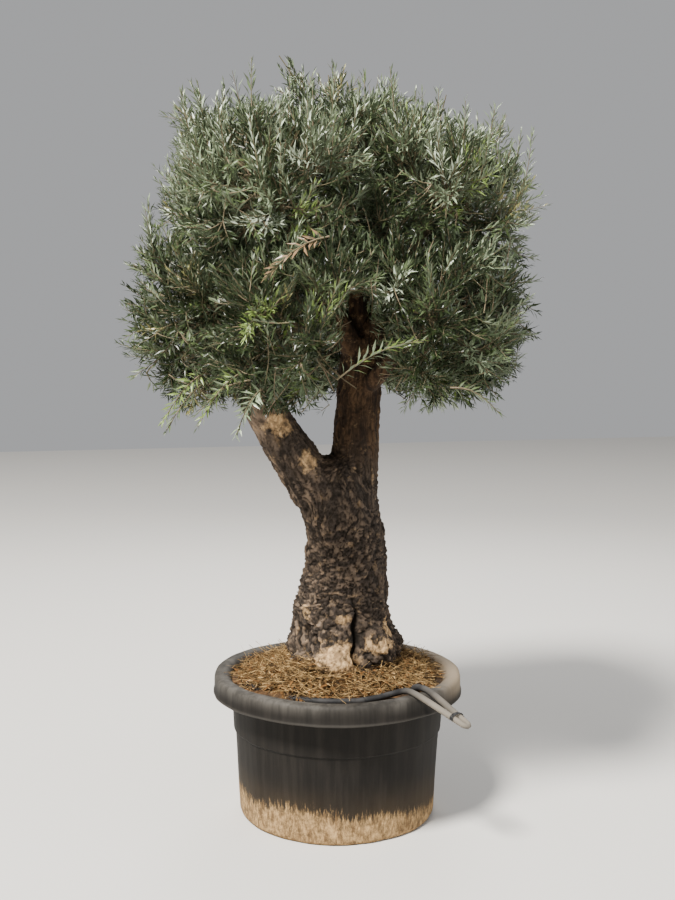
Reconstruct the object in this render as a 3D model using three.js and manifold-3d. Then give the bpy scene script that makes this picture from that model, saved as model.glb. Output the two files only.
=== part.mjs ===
// An old, hard-pruned olive tree in a round black nursery pot. Millimetres, +Z up.
// The origin is the middle of the pot's flat underside. +X is the viewer's right and +Y points away.
import * as THREE from "three";
import { mergeVertices } from "three/addons/utils/BufferGeometryUtils.js";
import Module from "manifold-3d";

const wasm = await Module();
wasm.setup();

// Driving sizes

const GAP = 0.3; // between any two touching pieces

const POT = {
  height: 440,
  rimRadius: 384, // outermost, on the rolled collar
  collarRadius: 27, // of the roll itself
  skirtHeight: 60, // from the top of the roll down to its free edge
  bodyTopRadius: 330,
  stepHeight: 263, // a small moulded step rings the body here
  stepDepth: 6,
  stepRise: 7,
  baseRadius: 304,
  wall: 8,
  lip: 3, // how far the skirt's free edge flares
  footChamfer: 14,
  sides: 36,
};
const COLLAR = { middle: POT.rimRadius - POT.collarRadius, height: POT.height - POT.collarRadius };
const SOIL = {
  level: 418, // of the flat middle that the trunk stands on
  flatRadius: 244,
  ledgeRadius: 268, // from here out to the pot it lies lower
  fall: 2,
};

const PIPE = {
  radius: 9,
  ringRadius: 294, // its centre line on the soil, round the trunk
  startTurn: 186, // degrees, anticlockwise from +X
  leaveTurn: 286, // where it climbs to the collar
  lift: 4, // off the soil at each of the last two points before that
  armTurn: 294, // the way the folded end points
  armReach: 552, // of the folded end, from the pot's middle
  armDroop: 52,
  armSpread: 52, // between the two runs at the collar
  insideCrest: 24, // the points that the runs pass over the collar at
  outsideCrest: 14,
  noseRadius: 11, // of the fold
  sides: 8,
  step: 56,
  armRows: 13,
  backRows: 6,
};

// Trunk rings, from the flat cut on the soil to the crotch.
const TRUNK = {
  rings: [
    { z: SOIL.level + GAP, x: 37, y: 0, halfWidth: 178, halfDepth: 170 },
    { z: 492, x: 31, y: 2, halfWidth: 172, halfDepth: 162 },
    { z: 570, x: 21, y: 4, halfWidth: 158, halfDepth: 148 },
    { z: 645, x: 21, y: 4, halfWidth: 146, halfDepth: 138 },
    { z: 720, x: 25, y: 4, halfWidth: 135, halfDepth: 129 },
    { z: 795, x: 33, y: 2, halfWidth: 123, halfDepth: 120 },
    { z: 870, x: 26, y: 0, halfWidth: 124, halfDepth: 113 },
    { z: 945, x: 6, y: 0, halfWidth: 126, halfDepth: 107 },
    { z: 1020, x: -11, y: 0, halfWidth: 136, halfDepth: 99 },
    { z: 1064, x: -13, y: 2, halfWidth: 122, halfDepth: 86 },
    { z: 1098, x: -19, y: 2, halfWidth: 80, halfDepth: 60 },
    { z: 1112, x: -21, y: 2, halfWidth: 32, halfDepth: 26 },
  ],
  sides: 20,
  rows: 14,
};

// Ridges that run up the trunk: how many, how deep as a share of the radius, and their turn over its height.
const RIDGES = [
  { count: 3, depth: 0.04, turn: 0.9, phase: 0.6 },
  { count: 5, depth: 0.05, turn: -1.3, phase: 2.1 },
  { count: 8, depth: 0.03, turn: 1.6, phase: 4.0 },
];

// Burls on the root flare and the trunk: where they bulge, by height and by turn round the trunk in degrees.
const BURLS_ROUND = [22, 0, 0];
const BURLS = [
  { turn: 240, z: 490, out: 130, size: [78, 70, 74] },
  { turn: 301, z: 530, out: 132, size: [62, 62, 80] },
  { turn: 338, z: 520, out: 138, size: [50, 54, 60] },
  { turn: 202, z: 628, out: 120, size: [46, 48, 56] },
  { turn: 200, z: 462, out: 132, size: [66, 70, 58] },
  { turn: 38, z: 486, out: 124, size: [72, 76, 74] },
  { turn: 96, z: 468, out: 128, size: [80, 72, 66] },
  { turn: 150, z: 506, out: 118, size: [70, 66, 84] },
  { turn: 268, z: 642, out: 104, size: [50, 44, 54] },
  { turn: 174, z: 798, out: 92, size: [38, 44, 56] },
];

// The two main boughs leave the crotch. Each limb leaves its parent at a share of its length and runs towards
// the middle of the foliage that it carries, and stops short of it.
const BOUGHS = [
  {
    name: "bough_left",
    path: [[-62, 0, 1000], [-180, -8, 1168], [-240, -14, 1268], [-306, -8, 1400]],
    startRadius: 84,
    tipRadius: 55,
    sides: 12,
    rows: 7,
  },
  {
    name: "bough_centre",
    path: [[47, 4, 985], [63, 8, 1165], [72, 10, 1310], [85, 12, 1468]],
    startRadius: 82,
    tipRadius: 64,
    sides: 12,
    rows: 7,
  },
];
const LIMBS = [
  { name: "limb_front_left", parent: "bough_left", at: 0.78, share: 0.54, radii: [38, 20] },
  { name: "limb_back_left", parent: "bough_left", at: 0.86, share: 0.54, radii: [38, 20] },
  { name: "limb_right", parent: "bough_centre", at: 0.72, share: 0.5, radii: [42, 22] },
  { name: "limb_front_right", parent: "bough_centre", at: 0.66, share: 0.56, radii: [38, 20] },
  { name: "limb_back_right", parent: "bough_centre", at: 0.76, share: 0.52, radii: [38, 20] },
  { name: "limb_top_left_front", parent: "bough_centre", at: 0.86, share: 0.68, radii: [48, 22] },
  { name: "limb_top_left_back", parent: "bough_centre", at: 0.97, share: 0.64, radii: [42, 21] },
  { name: "limb_top_right_front", parent: "bough_centre", at: 0.93, share: 0.64, radii: [46, 22] },
  { name: "limb_top_right_back", parent: "bough_centre", at: 0.9, share: 0.64, radii: [42, 21] },
  { name: "limb_top_middle", parent: "bough_centre", at: 0.98, share: 0.6, radii: [36, 20] },
];
const LIMB_SAG = 0.05; // how far a limb's middle hangs below the straight, as a share of its length
const LIMB_TAPER = 0.8;
const LIMB_SIDES = 8;
const LIMB_ROWS = 5;

// Masses of foliage, each on the limb of the same name, or else the bough. Each fills the part of its ellipsoid
// that is nearer to its own middle than to any other, so the middles and reaches give the crown's outline.
// Leaders are long shoots that stand above it.
const FOLIAGE = {
  left: { site: [-370, 8, 1534], reach: [292, 300, 328], seed: 11 },
  front_left: { site: [-193, -312, 1492], reach: [300, 290, 310], seed: 23 },
  back_left: { site: [-181, 326, 1520], reach: [300, 284, 304], seed: 37 },
  right: { site: [350, 14, 1534], reach: [302, 300, 320], seed: 41 },
  front_right: { site: [171, -316, 1506], reach: [296, 288, 306], seed: 53 },
  back_right: { site: [163, 322, 1508], reach: [300, 286, 308], seed: 67 },
  top_left_front: { site: [-243, -186, 1862], reach: [324, 318, 318], seed: 71, leaders: [[-500, -60, 2120]] },
  top_left_back: { site: [-231, 206, 1850], reach: [324, 310, 312], seed: 83, leaders: [[-350, 170, 2150]] },
  top_right_front: { site: [251, -178, 1860], reach: [326, 318, 322], seed: 97, leaders: [[532, -40, 2116]] },
  top_right_back: { site: [247, 200, 1858], reach: [324, 310, 316], seed: 103, leaders: [[378, 70, 2234]] },
  top_middle: {
    site: [13, 6, 1968],
    reach: [290, 290, 282],
    seed: 113,
    leaders: [[-190, -40, 2284], [-26, 10, 2252], [172, -20, 2222]],
  },
};

// The rule that every mass grows by.
const GROWTH = {
  crownMiddle: [-5, 0, 1560],
  coreShare: 0.38, // of the reach: the dense heart that the sprays stand out of
  coreLumps: 0.14,
  branchlets: 13, // directions tried, spread evenly over a sphere
  inwardLimit: -0.3, // a branchlet that points further into the crown than this is left out
  branchletShare: 0.58, // of the reach
  branchletSpread: 0.16, // how much their lengths differ, as a share
  turnSpread: 0.5, // how much their turns differ, in radians
  stations: [0.68, 0.95], // along a branchlet, each with a spray to either side
  stationTurn: 1.6,
  tipStation: 0.9,
  sprayLength: 176,
  spraySpread: 0.3,
  sprayWidth: 0.31, // of its length
  sprayThickness: 0.05, // of its length
  sprayRoll: 0.5,
  radial: 0.42, // how far sprays turn from the branchlet's way to the crown's own outward way
  rise: 0.45, // how far sprays turn up
  fan: 0.8, // how far side sprays turn away from the branchlet
  shorter: [1, 0.8, 0.62, 0.46], // tries for a spray that doesn't fit
  cellMargin: 3,
  limbMargin: 6,
  stemShare: 0.9, // of the limb's own radius at its tip
  branchletRadius: 7,
};
const LEADER = { foot: 0.2, bladeAt: 0.55, sideAt: 0.42, sideFan: 0.55, sideLength: 158 };
const GOLDEN_ANGLE = Math.PI * (3 - Math.sqrt(5));

const FINISHES = {
  pot: { color: 0x2b2a29, roughness: 0.6, metalness: 0 },
  soil: { color: 0x7a5e3f, roughness: 1, metalness: 0 },
  bark: { color: 0x5b4a3a, roughness: 0.95, metalness: 0 },
  youngBark: { color: 0x7a5636, roughness: 0.9, metalness: 0 },
  leaf: { color: 0x71806a, roughness: 0.7, metalness: 0 },
  pipe: { color: 0x34353a, roughness: 0.55, metalness: 0 },
};

// Small tools

const lerp = (a, b, t) => a + (b - a) * t;
const vector = (point) => new THREE.Vector3(...point);
const radians = (degrees) => (degrees * Math.PI) / 180;
const polar = (radius, degrees, z) =>
  new THREE.Vector3(radius * Math.cos(radians(degrees)), radius * Math.sin(radians(degrees)), z);

// Repeatable random numbers from 0 to 1.
function randomFrom(seed) {
  let state = seed >>> 0;
  return () => {
    state = (state + 0x6d2b79f5) >>> 0;
    let mixed = state;
    mixed = Math.imul(mixed ^ (mixed >>> 15), mixed | 1);
    mixed ^= mixed + Math.imul(mixed ^ (mixed >>> 7), mixed | 61);
    return ((mixed ^ (mixed >>> 14)) >>> 0) / 4294967296;
  };
}

function solidOf(geometry) {
  const bare = geometry.clone();
  bare.deleteAttribute("normal");
  bare.deleteAttribute("uv");
  const merged = mergeVertices(bare, 1e-3);
  return new wasm.Manifold(
    new wasm.Mesh({
      numProp: 3,
      vertProperties: new Float32Array(merged.attributes.position.array),
      triVerts: new Uint32Array(merged.index.array),
    }),
  );
}

// The largest closed body of a solid, without the crumbs that a cut may leave.
function mainBody(solid) {
  return solid.decompose().reduce((best, body) => (body.volume() > best.volume() ? body : best));
}

function meshOf(name, solid, finish) {
  const { numProp, vertProperties, triVerts } = solid.getMesh();
  const count = vertProperties.length / numProp;
  const positions = new Float32Array(count * 3);
  for (let i = 0; i < count; i++) {
    positions.set(vertProperties.subarray(i * numProp, i * numProp + 3), i * 3);
  }
  const geometry = new THREE.BufferGeometry();
  geometry.setAttribute("position", new THREE.BufferAttribute(positions, 3));
  geometry.setIndex(new THREE.BufferAttribute(triVerts, 1));
  geometry.computeVertexNormals();
  const mesh = new THREE.Mesh(geometry, new THREE.MeshStandardMaterial(finish));
  mesh.name = name;
  return mesh;
}

// A round lathe about +Z from [radius, z] pairs.
function turned(profile, sides) {
  const lathe = new THREE.LatheGeometry(profile.map(([r, z]) => new THREE.Vector2(r, z)), sides);
  return solidOf(lathe.rotateX(Math.PI / 2));
}

// Moves each point of a unit cylinder to place(share of height, angle, share of radius).
function bentCylinder(sides, rows, place) {
  const geometry = new THREE.CylinderGeometry(1, 1, 1, sides, rows);
  const position = geometry.attributes.position;
  for (let i = 0; i < position.count; i++) {
    const [x, y, z] = [position.getX(i), position.getY(i), position.getZ(i)];
    const point = place(y + 0.5, Math.atan2(z, x), Math.hypot(x, z));
    position.setXYZ(i, point.x, point.y, point.z);
  }
  return solidOf(geometry);
}

// Pot, soil and pipe

function innerRadiusAt(z) {
  const share = (z - POT.wall) / (COLLAR.height - POT.wall);
  return lerp(POT.baseRadius - POT.wall, COLLAR.middle - POT.collarRadius, share);
}

function potSolid() {
  const { height, rimRadius, collarRadius, baseRadius, bodyTopRadius, stepHeight, wall, lip } = POT;
  const roll = (radius, turns) =>
    turns.map((turn) => [
      COLLAR.middle + radius * Math.cos(radians(turn)),
      COLLAR.height + radius * Math.sin(radians(turn)),
    ]);
  const edge = height - POT.skirtHeight;
  const stepRadius = lerp(baseRadius, bodyTopRadius - POT.stepDepth, stepHeight / edge);
  const profile = [
    [0, 0],
    [baseRadius - POT.footChamfer, 0],
    [baseRadius, POT.footChamfer],
    [stepRadius, stepHeight],
    [stepRadius + POT.stepDepth, stepHeight + POT.stepRise],
    [bodyTopRadius, edge],
    ...roll(collarRadius - wall, [168, 90, 12]),
    [rimRadius - wall, edge + 2 * lip],
    [rimRadius - lip, edge],
    [rimRadius + lip, edge + lip],
    ...roll(collarRadius, [0, 32, 62, 90, 122, 152, 180]),
    [innerRadiusAt(wall), wall],
    [0, wall],
  ];
  return turned(profile, POT.sides);
}

function soilSolid() {
  const { level, flatRadius, ledgeRadius, fall } = SOIL;
  const clear = (z) => (innerRadiusAt(z) - 2 * GAP) * Math.cos(Math.PI / POT.sides);
  const floor = POT.wall + GAP;
  const edge = level - fall;
  const profile = [
    [0, floor],
    [clear(floor), floor],
    [clear(edge), edge],
    [ledgeRadius, edge],
    [flatRadius, level],
    [0, level],
  ];
  return turned(profile, POT.sides);
}

// A round tube along a line of points.
function tube(points, radius, sides, steps) {
  const section = new THREE.Shape();
  section.absarc(0, 0, radius, 0, 2 * Math.PI);
  const geometry = new THREE.ExtrudeGeometry(section, {
    extrudePath: new THREE.CatmullRomCurve3(points, false, "centripetal"),
    steps,
    curveSegments: sides / 2,
    bevelEnabled: false,
  });
  return solidOf(geometry);
}

// The drip pipe lies round the trunk on the soil, climbs over the collar and is folded back on itself.
function pipeSolid() {
  const { radius, sides, insideCrest, outsideCrest } = PIPE;
  const onSoil = SOIL.level - SOIL.fall + radius + GAP;
  const onCollar = POT.height + radius + 2 * GAP;
  const across = polar(PIPE.armSpread / 2, PIPE.armTurn + 90, 0);
  const arm = (reach, side, z) => polar(reach, PIPE.armTurn, z).addScaledVector(across, side);
  const tip = arm(PIPE.armReach, 0, POT.height + radius - PIPE.armDroop);
  const overCrest = (side) => [
    arm(COLLAR.middle - insideCrest, side, onCollar),
    arm(COLLAR.middle + outsideCrest, side, onCollar),
  ];
  const ring = [];
  const turns = Math.ceil((radians(PIPE.leaveTurn - PIPE.startTurn) * PIPE.ringRadius) / PIPE.step);
  for (let i = 0; i <= turns; i++) {
    const lifted = PIPE.lift * Math.max(0, i - turns + 2);
    ring.push(polar(PIPE.ringRadius, lerp(PIPE.startTurn, PIPE.leaveTurn, i / turns), onSoil + lifted));
  }
  const nose = new THREE.SphereGeometry(PIPE.noseRadius, sides, 5).translate(...tip.toArray());
  return tube([...ring, ...overCrest(-1), tip], radius, sides, turns + PIPE.armRows)
    .add(tube([...overCrest(1), tip], radius, sides, PIPE.backRows))
    .add(solidOf(nose));
}

// Trunk, boughs and limbs

function trunkRing(share) {
  const { rings } = TRUNK;
  const column = (key) => new THREE.SplineCurve(rings.map((ring, i) => new THREE.Vector2(i, ring[key])));
  const at = (key) => column(key).getPoint(share).y;
  return { x: at("x"), y: at("y"), z: at("z"), halfWidth: at("halfWidth"), halfDepth: at("halfDepth") };
}

// The trunk, or with grow the space that keeps the boughs clear of it.
function trunkSolid(grow = 0) {
  const ridge = (angle, share) =>
    RIDGES.reduce((sum, { count, depth, turn, phase }) => {
      return sum + depth * Math.cos(count * angle + phase + turn * share * Math.PI);
    }, 1);
  const column = bentCylinder(TRUNK.sides, TRUNK.rows, (share, angle, out) => {
    const ring = trunkRing(share);
    const swell = out * ridge(angle, share);
    return new THREE.Vector3(
      ring.x + (ring.halfWidth * swell + 2 * grow * out) * Math.cos(angle),
      ring.y - (ring.halfDepth * swell + 2 * grow * out) * Math.sin(angle),
      ring.z + 2 * grow * share,
    );
  });
  const burls = BURLS.map(({ turn, z, out, size }) => {
    const middle = polar(out, turn, z).add(vector(BURLS_ROUND));
    const extent = size.map((half) => half + 2 * grow);
    return solidOf(new THREE.IcosahedronGeometry(1, 1).scale(...extent).translate(...middle.toArray()));
  });
  const { rimRadius, height } = POT;
  const below = new THREE.BoxGeometry(2 * rimRadius, 2 * rimRadius, height);
  const foot = solidOf(below.translate(0, 0, SOIL.level + GAP - height / 2));
  return burls.reduce((sum, burl) => sum.add(burl), column).subtract(foot);
}

const limbs = new Map();

function addLimb(name, points, [startRadius, tipRadius], sides, rows) {
  const curve = new THREE.CatmullRomCurve3(points, false, "centripetal");
  const radiusAt = (share) => lerp(startRadius, tipRadius, Math.pow(share, LIMB_TAPER));
  limbs.set(name, { name, curve, radiusAt, sides, rows });
}

const carrierOf = (key) => limbs.get("limb_" + key) ?? limbs.get("bough_" + key);

// A tapering limb, or with grow the space that keeps others clear of it.
function limbSolid({ curve, radiusAt, sides, rows }, grow = 0) {
  const frames = curve.computeFrenetFrames(rows);
  return bentCylinder(sides, rows, (share, angle, out) => {
    const row = Math.round(share * rows);
    const end = row === rows ? grow : row === 0 ? -grow : 0;
    const radius = out * (radiusAt(share) + grow / Math.cos(Math.PI / sides));
    return curve
      .getPointAt(share)
      .addScaledVector(frames.tangents[row], end)
      .addScaledVector(frames.normals[row], radius * Math.cos(angle))
      .addScaledVector(frames.binormals[row], -radius * Math.sin(angle));
  });
}

function planLimbs() {
  for (const { name, path, startRadius, tipRadius, sides, rows } of BOUGHS) {
    addLimb(name, path.map(vector), [startRadius, tipRadius], sides, rows);
  }
  for (const { name, parent, at, share, radii } of LIMBS) {
    const start = limbs.get(parent).curve.getPointAt(at);
    const tip = start.clone().lerp(vector(FOLIAGE[name.replace("limb_", "")].site), share);
    const middle = start.clone().lerp(tip, 0.5);
    middle.z -= LIMB_SAG * start.distanceTo(tip);
    addLimb(name, [start, middle, tip], radii, LIMB_SIDES, LIMB_ROWS);
  }
}

// Foliage

function placeTwig(from, to, radius, sides) {
  const along = to.clone().sub(from);
  const cone = new THREE.ConeGeometry(radius, along.length(), sides, 1);
  const turn = new THREE.Quaternion().setFromUnitVectors(new THREE.Vector3(0, 1, 0), along.clone().normalize());
  return cone.applyQuaternion(turn).translate(...from.clone().lerp(to, 0.5).toArray());
}

// One flat pointed blade of eight faces, broad across `across`.
function placeSpray(from, direction, length, across) {
  const thick = direction.clone().cross(across).normalize();
  const wide = thick.clone().cross(direction).normalize();
  const basis = new THREE.Matrix4().makeBasis(direction, wide, thick);
  basis.setPosition(from.clone().addScaledVector(direction, length / 2));
  const { sprayWidth, sprayThickness } = GROWTH;
  return new THREE.OctahedronGeometry(1, 0)
    .scale(length / 2, (length * sprayWidth) / 2, (length * sprayThickness) / 2)
    .applyMatrix4(basis);
}

function makeSpace(key) {
  const { site, reach } = FOLIAGE[key];
  const middle = vector(site);
  const walls = Object.keys(FOLIAGE)
    .filter((other) => other !== key)
    .map((other) => {
      const across = vector(FOLIAGE[other].site).sub(middle);
      const half = across.length() / 2;
      return { normal: across.normalize(), reach: half - GROWTH.cellMargin };
    });
  const insideCell = (point) => {
    const out = point.clone().sub(middle);
    return walls.every(({ normal, reach: limit }) => out.dot(normal) < limit);
  };
  const insideReach = (point) => {
    const out = point.clone().sub(middle).divide(vector(reach));
    return out.lengthSq() < 1;
  };
  return { middle, insideCell, insideReach };
}

const CLEARANCE_SAMPLES = { limb: 24, twig: 6 };

function clearOfLimbs(from, to, width) {
  const samples = CLEARANCE_SAMPLES;
  for (let i = 0; i <= samples.twig; i++) {
    const point = from.clone().lerp(to, i / samples.twig);
    for (const { curve, radiusAt } of limbs.values()) {
      for (let k = 0; k <= samples.limb; k++) {
        const share = k / samples.limb;
        const room = radiusAt(share) + width + GROWTH.limbMargin;
        if (curve.getPointAt(share).distanceTo(point) < room) return false;
      }
    }
  }
  return true;
}

const cornersOf = (geometry) => {
  const position = geometry.attributes.position;
  return Array.from({ length: position.count }, (_, i) => new THREE.Vector3().fromBufferAttribute(position, i));
};

// Which way a spray goes: between its branchlet's way and the crown's own way out, fanned to one side, and up.
function sprayDirection(along, side, fan, point) {
  const away = point.clone().sub(vector(GROWTH.crownMiddle)).normalize();
  const up = new THREE.Vector3(0, 0, GROWTH.rise);
  return along.clone().lerp(away, GROWTH.radial).addScaledVector(side, fan).add(up).normalize();
}

// The dense heart of a mass, a little lumpy.
function coreOf(middle, extent, seed) {
  const ball = new THREE.IcosahedronGeometry(1, 1);
  const position = ball.attributes.position;
  for (let i = 0; i < position.count; i++) {
    const point = new THREE.Vector3().fromBufferAttribute(position, i);
    const across = Math.sin(2.3 * point.x + seed) * Math.cos(2.9 * point.y - seed);
    const lump = across + Math.sin(3.1 * point.z + seed);
    point.multiplyScalar(GROWTH.coreShare * (1 + 0.5 * GROWTH.coreLumps * lump));
    position.setXYZ(i, point.x, point.y, point.z);
  }
  return ball.scale(...extent.toArray()).translate(...middle.toArray());
}

function growFoliage(key) {
  const { reach, seed, leaders = [] } = FOLIAGE[key];
  const { middle, insideCell, insideReach } = makeSpace(key);
  const limb = carrierOf(key);
  const draw = randomFrom(seed);
  const differ = (spread, share) => 1 + spread * (share - 0.5);
  const extent = vector(reach);
  const outward = middle.clone().sub(vector(GROWTH.crownMiddle)).normalize();
  const stem = placeTwig(limb.curve.getPointAt(0.97), middle, GROWTH.stemShare * limb.radiusAt(1), 6);
  const grown = [coreOf(middle, extent, seed), stem];

  const addSpray = (root, direction, length, across, fits) => {
    for (const shorter of GROWTH.shorter) {
      const size = length * shorter;
      const blade = placeSpray(root, direction, size, across);
      const end = root.clone().addScaledVector(direction, size);
      if (cornersOf(blade).every(fits) && clearOfLimbs(root, end, (size * GROWTH.sprayWidth) / 2)) {
        grown.push(blade);
        return;
      }
    }
  };
  const insideSpace = (point) => insideCell(point) && insideReach(point);

  for (let i = 0; i < GROWTH.branchlets; i++) {
    const height = 1 - (2 * (i + 0.5)) / GROWTH.branchlets;
    const turn = i * GOLDEN_ANGLE + seed + GROWTH.turnSpread * (draw() - 0.5);
    const flat = Math.sqrt(1 - height * height);
    const out = new THREE.Vector3(flat * Math.cos(turn), flat * Math.sin(turn), height);
    const length = GROWTH.branchletShare * differ(GROWTH.branchletSpread, draw());
    const spins = [draw(), draw(), draw()];
    if (out.dot(outward) < GROWTH.inwardLimit) continue;
    const end = middle.clone().add(out.multiply(extent).multiplyScalar(length));
    if (!insideCell(end) || !clearOfLimbs(middle.clone().lerp(end, 0.5), end, GROWTH.branchletRadius)) continue;
    grown.push(placeTwig(middle, end, GROWTH.branchletRadius, 3));
    const along = end.clone().sub(middle).normalize();
    const aside = along.clone().cross(new THREE.Vector3(0.1, 0.2, 1)).normalize();
    GROWTH.stations.forEach((station, k) => {
      const root = middle.clone().lerp(end, station);
      const size = GROWTH.sprayLength * differ(GROWTH.spraySpread, spins[1 - k]);
      for (const way of [0, Math.PI]) {
        const side = aside.clone().applyAxisAngle(along, GROWTH.stationTurn * (spins[k] + k) + way);
        const direction = sprayDirection(along, side, GROWTH.fan, root);
        const across = side.clone().cross(direction).addScaledVector(side, GROWTH.sprayRoll);
        addSpray(root, direction, size, across, insideSpace);
      }
    });
    const root = middle.clone().lerp(end, GROWTH.tipStation);
    const direction = sprayDirection(along, aside, GROWTH.spraySpread * (spins[2] - 0.5), end);
    addSpray(root, direction, GROWTH.sprayLength * differ(GROWTH.spraySpread, spins[2]), aside, insideSpace);
  }

  for (const leader of leaders) {
    const top = vector(leader);
    const foot = middle.clone().lerp(top, LEADER.foot);
    const along = top.clone().sub(foot).normalize();
    const aside = along.clone().cross(new THREE.Vector3(1, 0.3, 0)).normalize();
    const bladeLength = (1 - LEADER.bladeAt) * top.distanceTo(foot);
    grown.push(placeTwig(foot, top, GROWTH.branchletRadius, 3));
    addSpray(foot.clone().lerp(top, LEADER.bladeAt), along, bladeLength, aside, insideCell);
    for (const way of [1, -1]) {
      const side = aside.clone().multiplyScalar(way);
      const direction = along.clone().addScaledVector(side, LEADER.sideFan).normalize();
      const root = foot.clone().lerp(top, LEADER.sideAt);
      addSpray(root, direction, LEADER.sideLength, side.cross(direction), insideCell);
    }
  }
  const fused = grown.map(solidOf).reduce((sum, piece) => sum.add(piece));
  return mainBody(fused.subtract(limbSolid(limb, GAP)));
}

// Assembly

const tree = new THREE.Group();
tree.name = "potted_olive_tree";
const add = (name, solid, finish) => tree.add(meshOf(name, solid, FINISHES[finish]));

planLimbs();
add("pot", potSolid(), "pot");
add("soil", soilSolid(), "soil");
add("drip_pipe", pipeSolid(), "pipe");
add("trunk", trunkSolid(), "bark");
const trunkSpace = trunkSolid(GAP);

const keptClear = [];
for (const limb of limbs.values()) {
  const main = BOUGHS.some(({ name }) => name === limb.name);
  const whole = limbSolid(limb);
  const others = keptClear.reduce((rest, other) => rest.subtract(other), whole);
  const cut = main ? others.subtract(trunkSpace) : others;
  add(limb.name, mainBody(cut), main ? "bark" : "youngBark");
  keptClear.push(limbSolid(limb, GAP));
}
for (const key of Object.keys(FOLIAGE)) {
  add("foliage_" + key, growFoliage(key), "leaf");
}

export default tree;
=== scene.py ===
# An old olive tree in a round nursery pot, dressed around its solids.
# Metres, +Z up. The origin is the middle of the pot's underside, and the tree is seen from the -Y side.
import math

import bmesh
import bpy
import numpy as np
from bpy.props import FloatProperty, FloatVectorProperty, IntProperty, PointerProperty
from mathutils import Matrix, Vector, noise
from mathutils.kdtree import KDTree


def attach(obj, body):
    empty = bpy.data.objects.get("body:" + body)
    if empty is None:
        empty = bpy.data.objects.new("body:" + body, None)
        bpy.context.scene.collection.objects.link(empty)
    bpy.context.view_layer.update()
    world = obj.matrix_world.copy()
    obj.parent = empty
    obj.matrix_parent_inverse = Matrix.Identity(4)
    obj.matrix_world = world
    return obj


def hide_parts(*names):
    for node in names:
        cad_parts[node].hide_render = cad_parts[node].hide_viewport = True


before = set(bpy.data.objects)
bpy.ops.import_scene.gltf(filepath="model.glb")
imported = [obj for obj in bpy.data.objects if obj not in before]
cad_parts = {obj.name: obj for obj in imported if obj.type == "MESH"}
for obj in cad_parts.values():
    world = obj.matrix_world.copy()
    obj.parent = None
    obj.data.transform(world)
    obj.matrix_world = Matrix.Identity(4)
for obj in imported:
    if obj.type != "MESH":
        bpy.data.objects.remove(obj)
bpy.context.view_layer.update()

bl_info = {
    "name": "Potted olive tree",
    "version": (1, 0, 0),
    "blender": (4, 5, 0),
    "location": "3D View > Sidebar > Olive",
    "description": "Bark, leaves, twigs, pot, soil and pipe of an old olive tree in a nursery pot",
    "category": "Object",
}

MM = 0.001
UP = np.array([0.0, 0.0, 1.0])

# Sizes that follow the solids, in millimetres

POT = {
    "height": 440,
    "rim_radius": 384,
    "collar_radius": 27,
    "squareness": 1.7,
    "skirt_height": 60,
    "body_top_radius": 330,
    "step_height": 263,
    "step_depth": 6,
    "step_rise": 7,
    "base_radius": 304,
    "wall": 8,
    "lip": 3,
    "foot_radius": 14,
}
COLLAR_MIDDLE = POT["rim_radius"] - POT["collar_radius"]
COLLAR_HEIGHT = POT["height"] - POT["collar_radius"]
SOIL = {"level": 418, "flat_radius": 244, "ledge_radius": 268, "fall": 2}
PIPE = {
    "radius": 9,
    "ring_radius": 294,
    "start_turn": 186,
    "leave_turn": 286,
    "lift": 4,
    "arm_turn": 294,
    "arm_reach": 552,
    "arm_droop": 52,
    "arm_spread": 52,
    "inside_crest": 24,
    "outside_crest": 14,
    "step": 56,
}

TRUNK_LINE = [(37, 0, 418), (21, 4, 570), (25, 4, 720), (26, 0, 870), (-11, 0, 1020), (-21, 2, 1112)]
TRUNK_RADII = (170, 120)
BOUGHS = {
    "bough_left": ([(-62, 0, 1000), (-180, -8, 1168), (-240, -14, 1268), (-306, -8, 1400)], (84, 55)),
    "bough_centre": ([(47, 4, 985), (63, 8, 1165), (72, 10, 1310), (85, 12, 1468)], (82, 64)),
}
# Each limb: its parent, where it leaves it, how far it runs to its foliage's middle, and its two radii.
LIMBS = {
    "limb_front_left": ("bough_left", 0.78, 0.54, (38, 20)),
    "limb_back_left": ("bough_left", 0.86, 0.54, (38, 20)),
    "limb_right": ("bough_centre", 0.72, 0.5, (42, 22)),
    "limb_front_right": ("bough_centre", 0.66, 0.56, (38, 20)),
    "limb_back_right": ("bough_centre", 0.76, 0.52, (38, 20)),
    "limb_top_left_front": ("bough_centre", 0.86, 0.68, (48, 22)),
    "limb_top_left_back": ("bough_centre", 0.97, 0.64, (42, 21)),
    "limb_top_right_front": ("bough_centre", 0.93, 0.64, (46, 22)),
    "limb_top_right_back": ("bough_centre", 0.9, 0.64, (42, 21)),
    "limb_top_middle": ("bough_centre", 0.98, 0.6, (36, 20)),
}
LIMB_SAG = 0.05
LIMB_TAPER = 0.8

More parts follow.
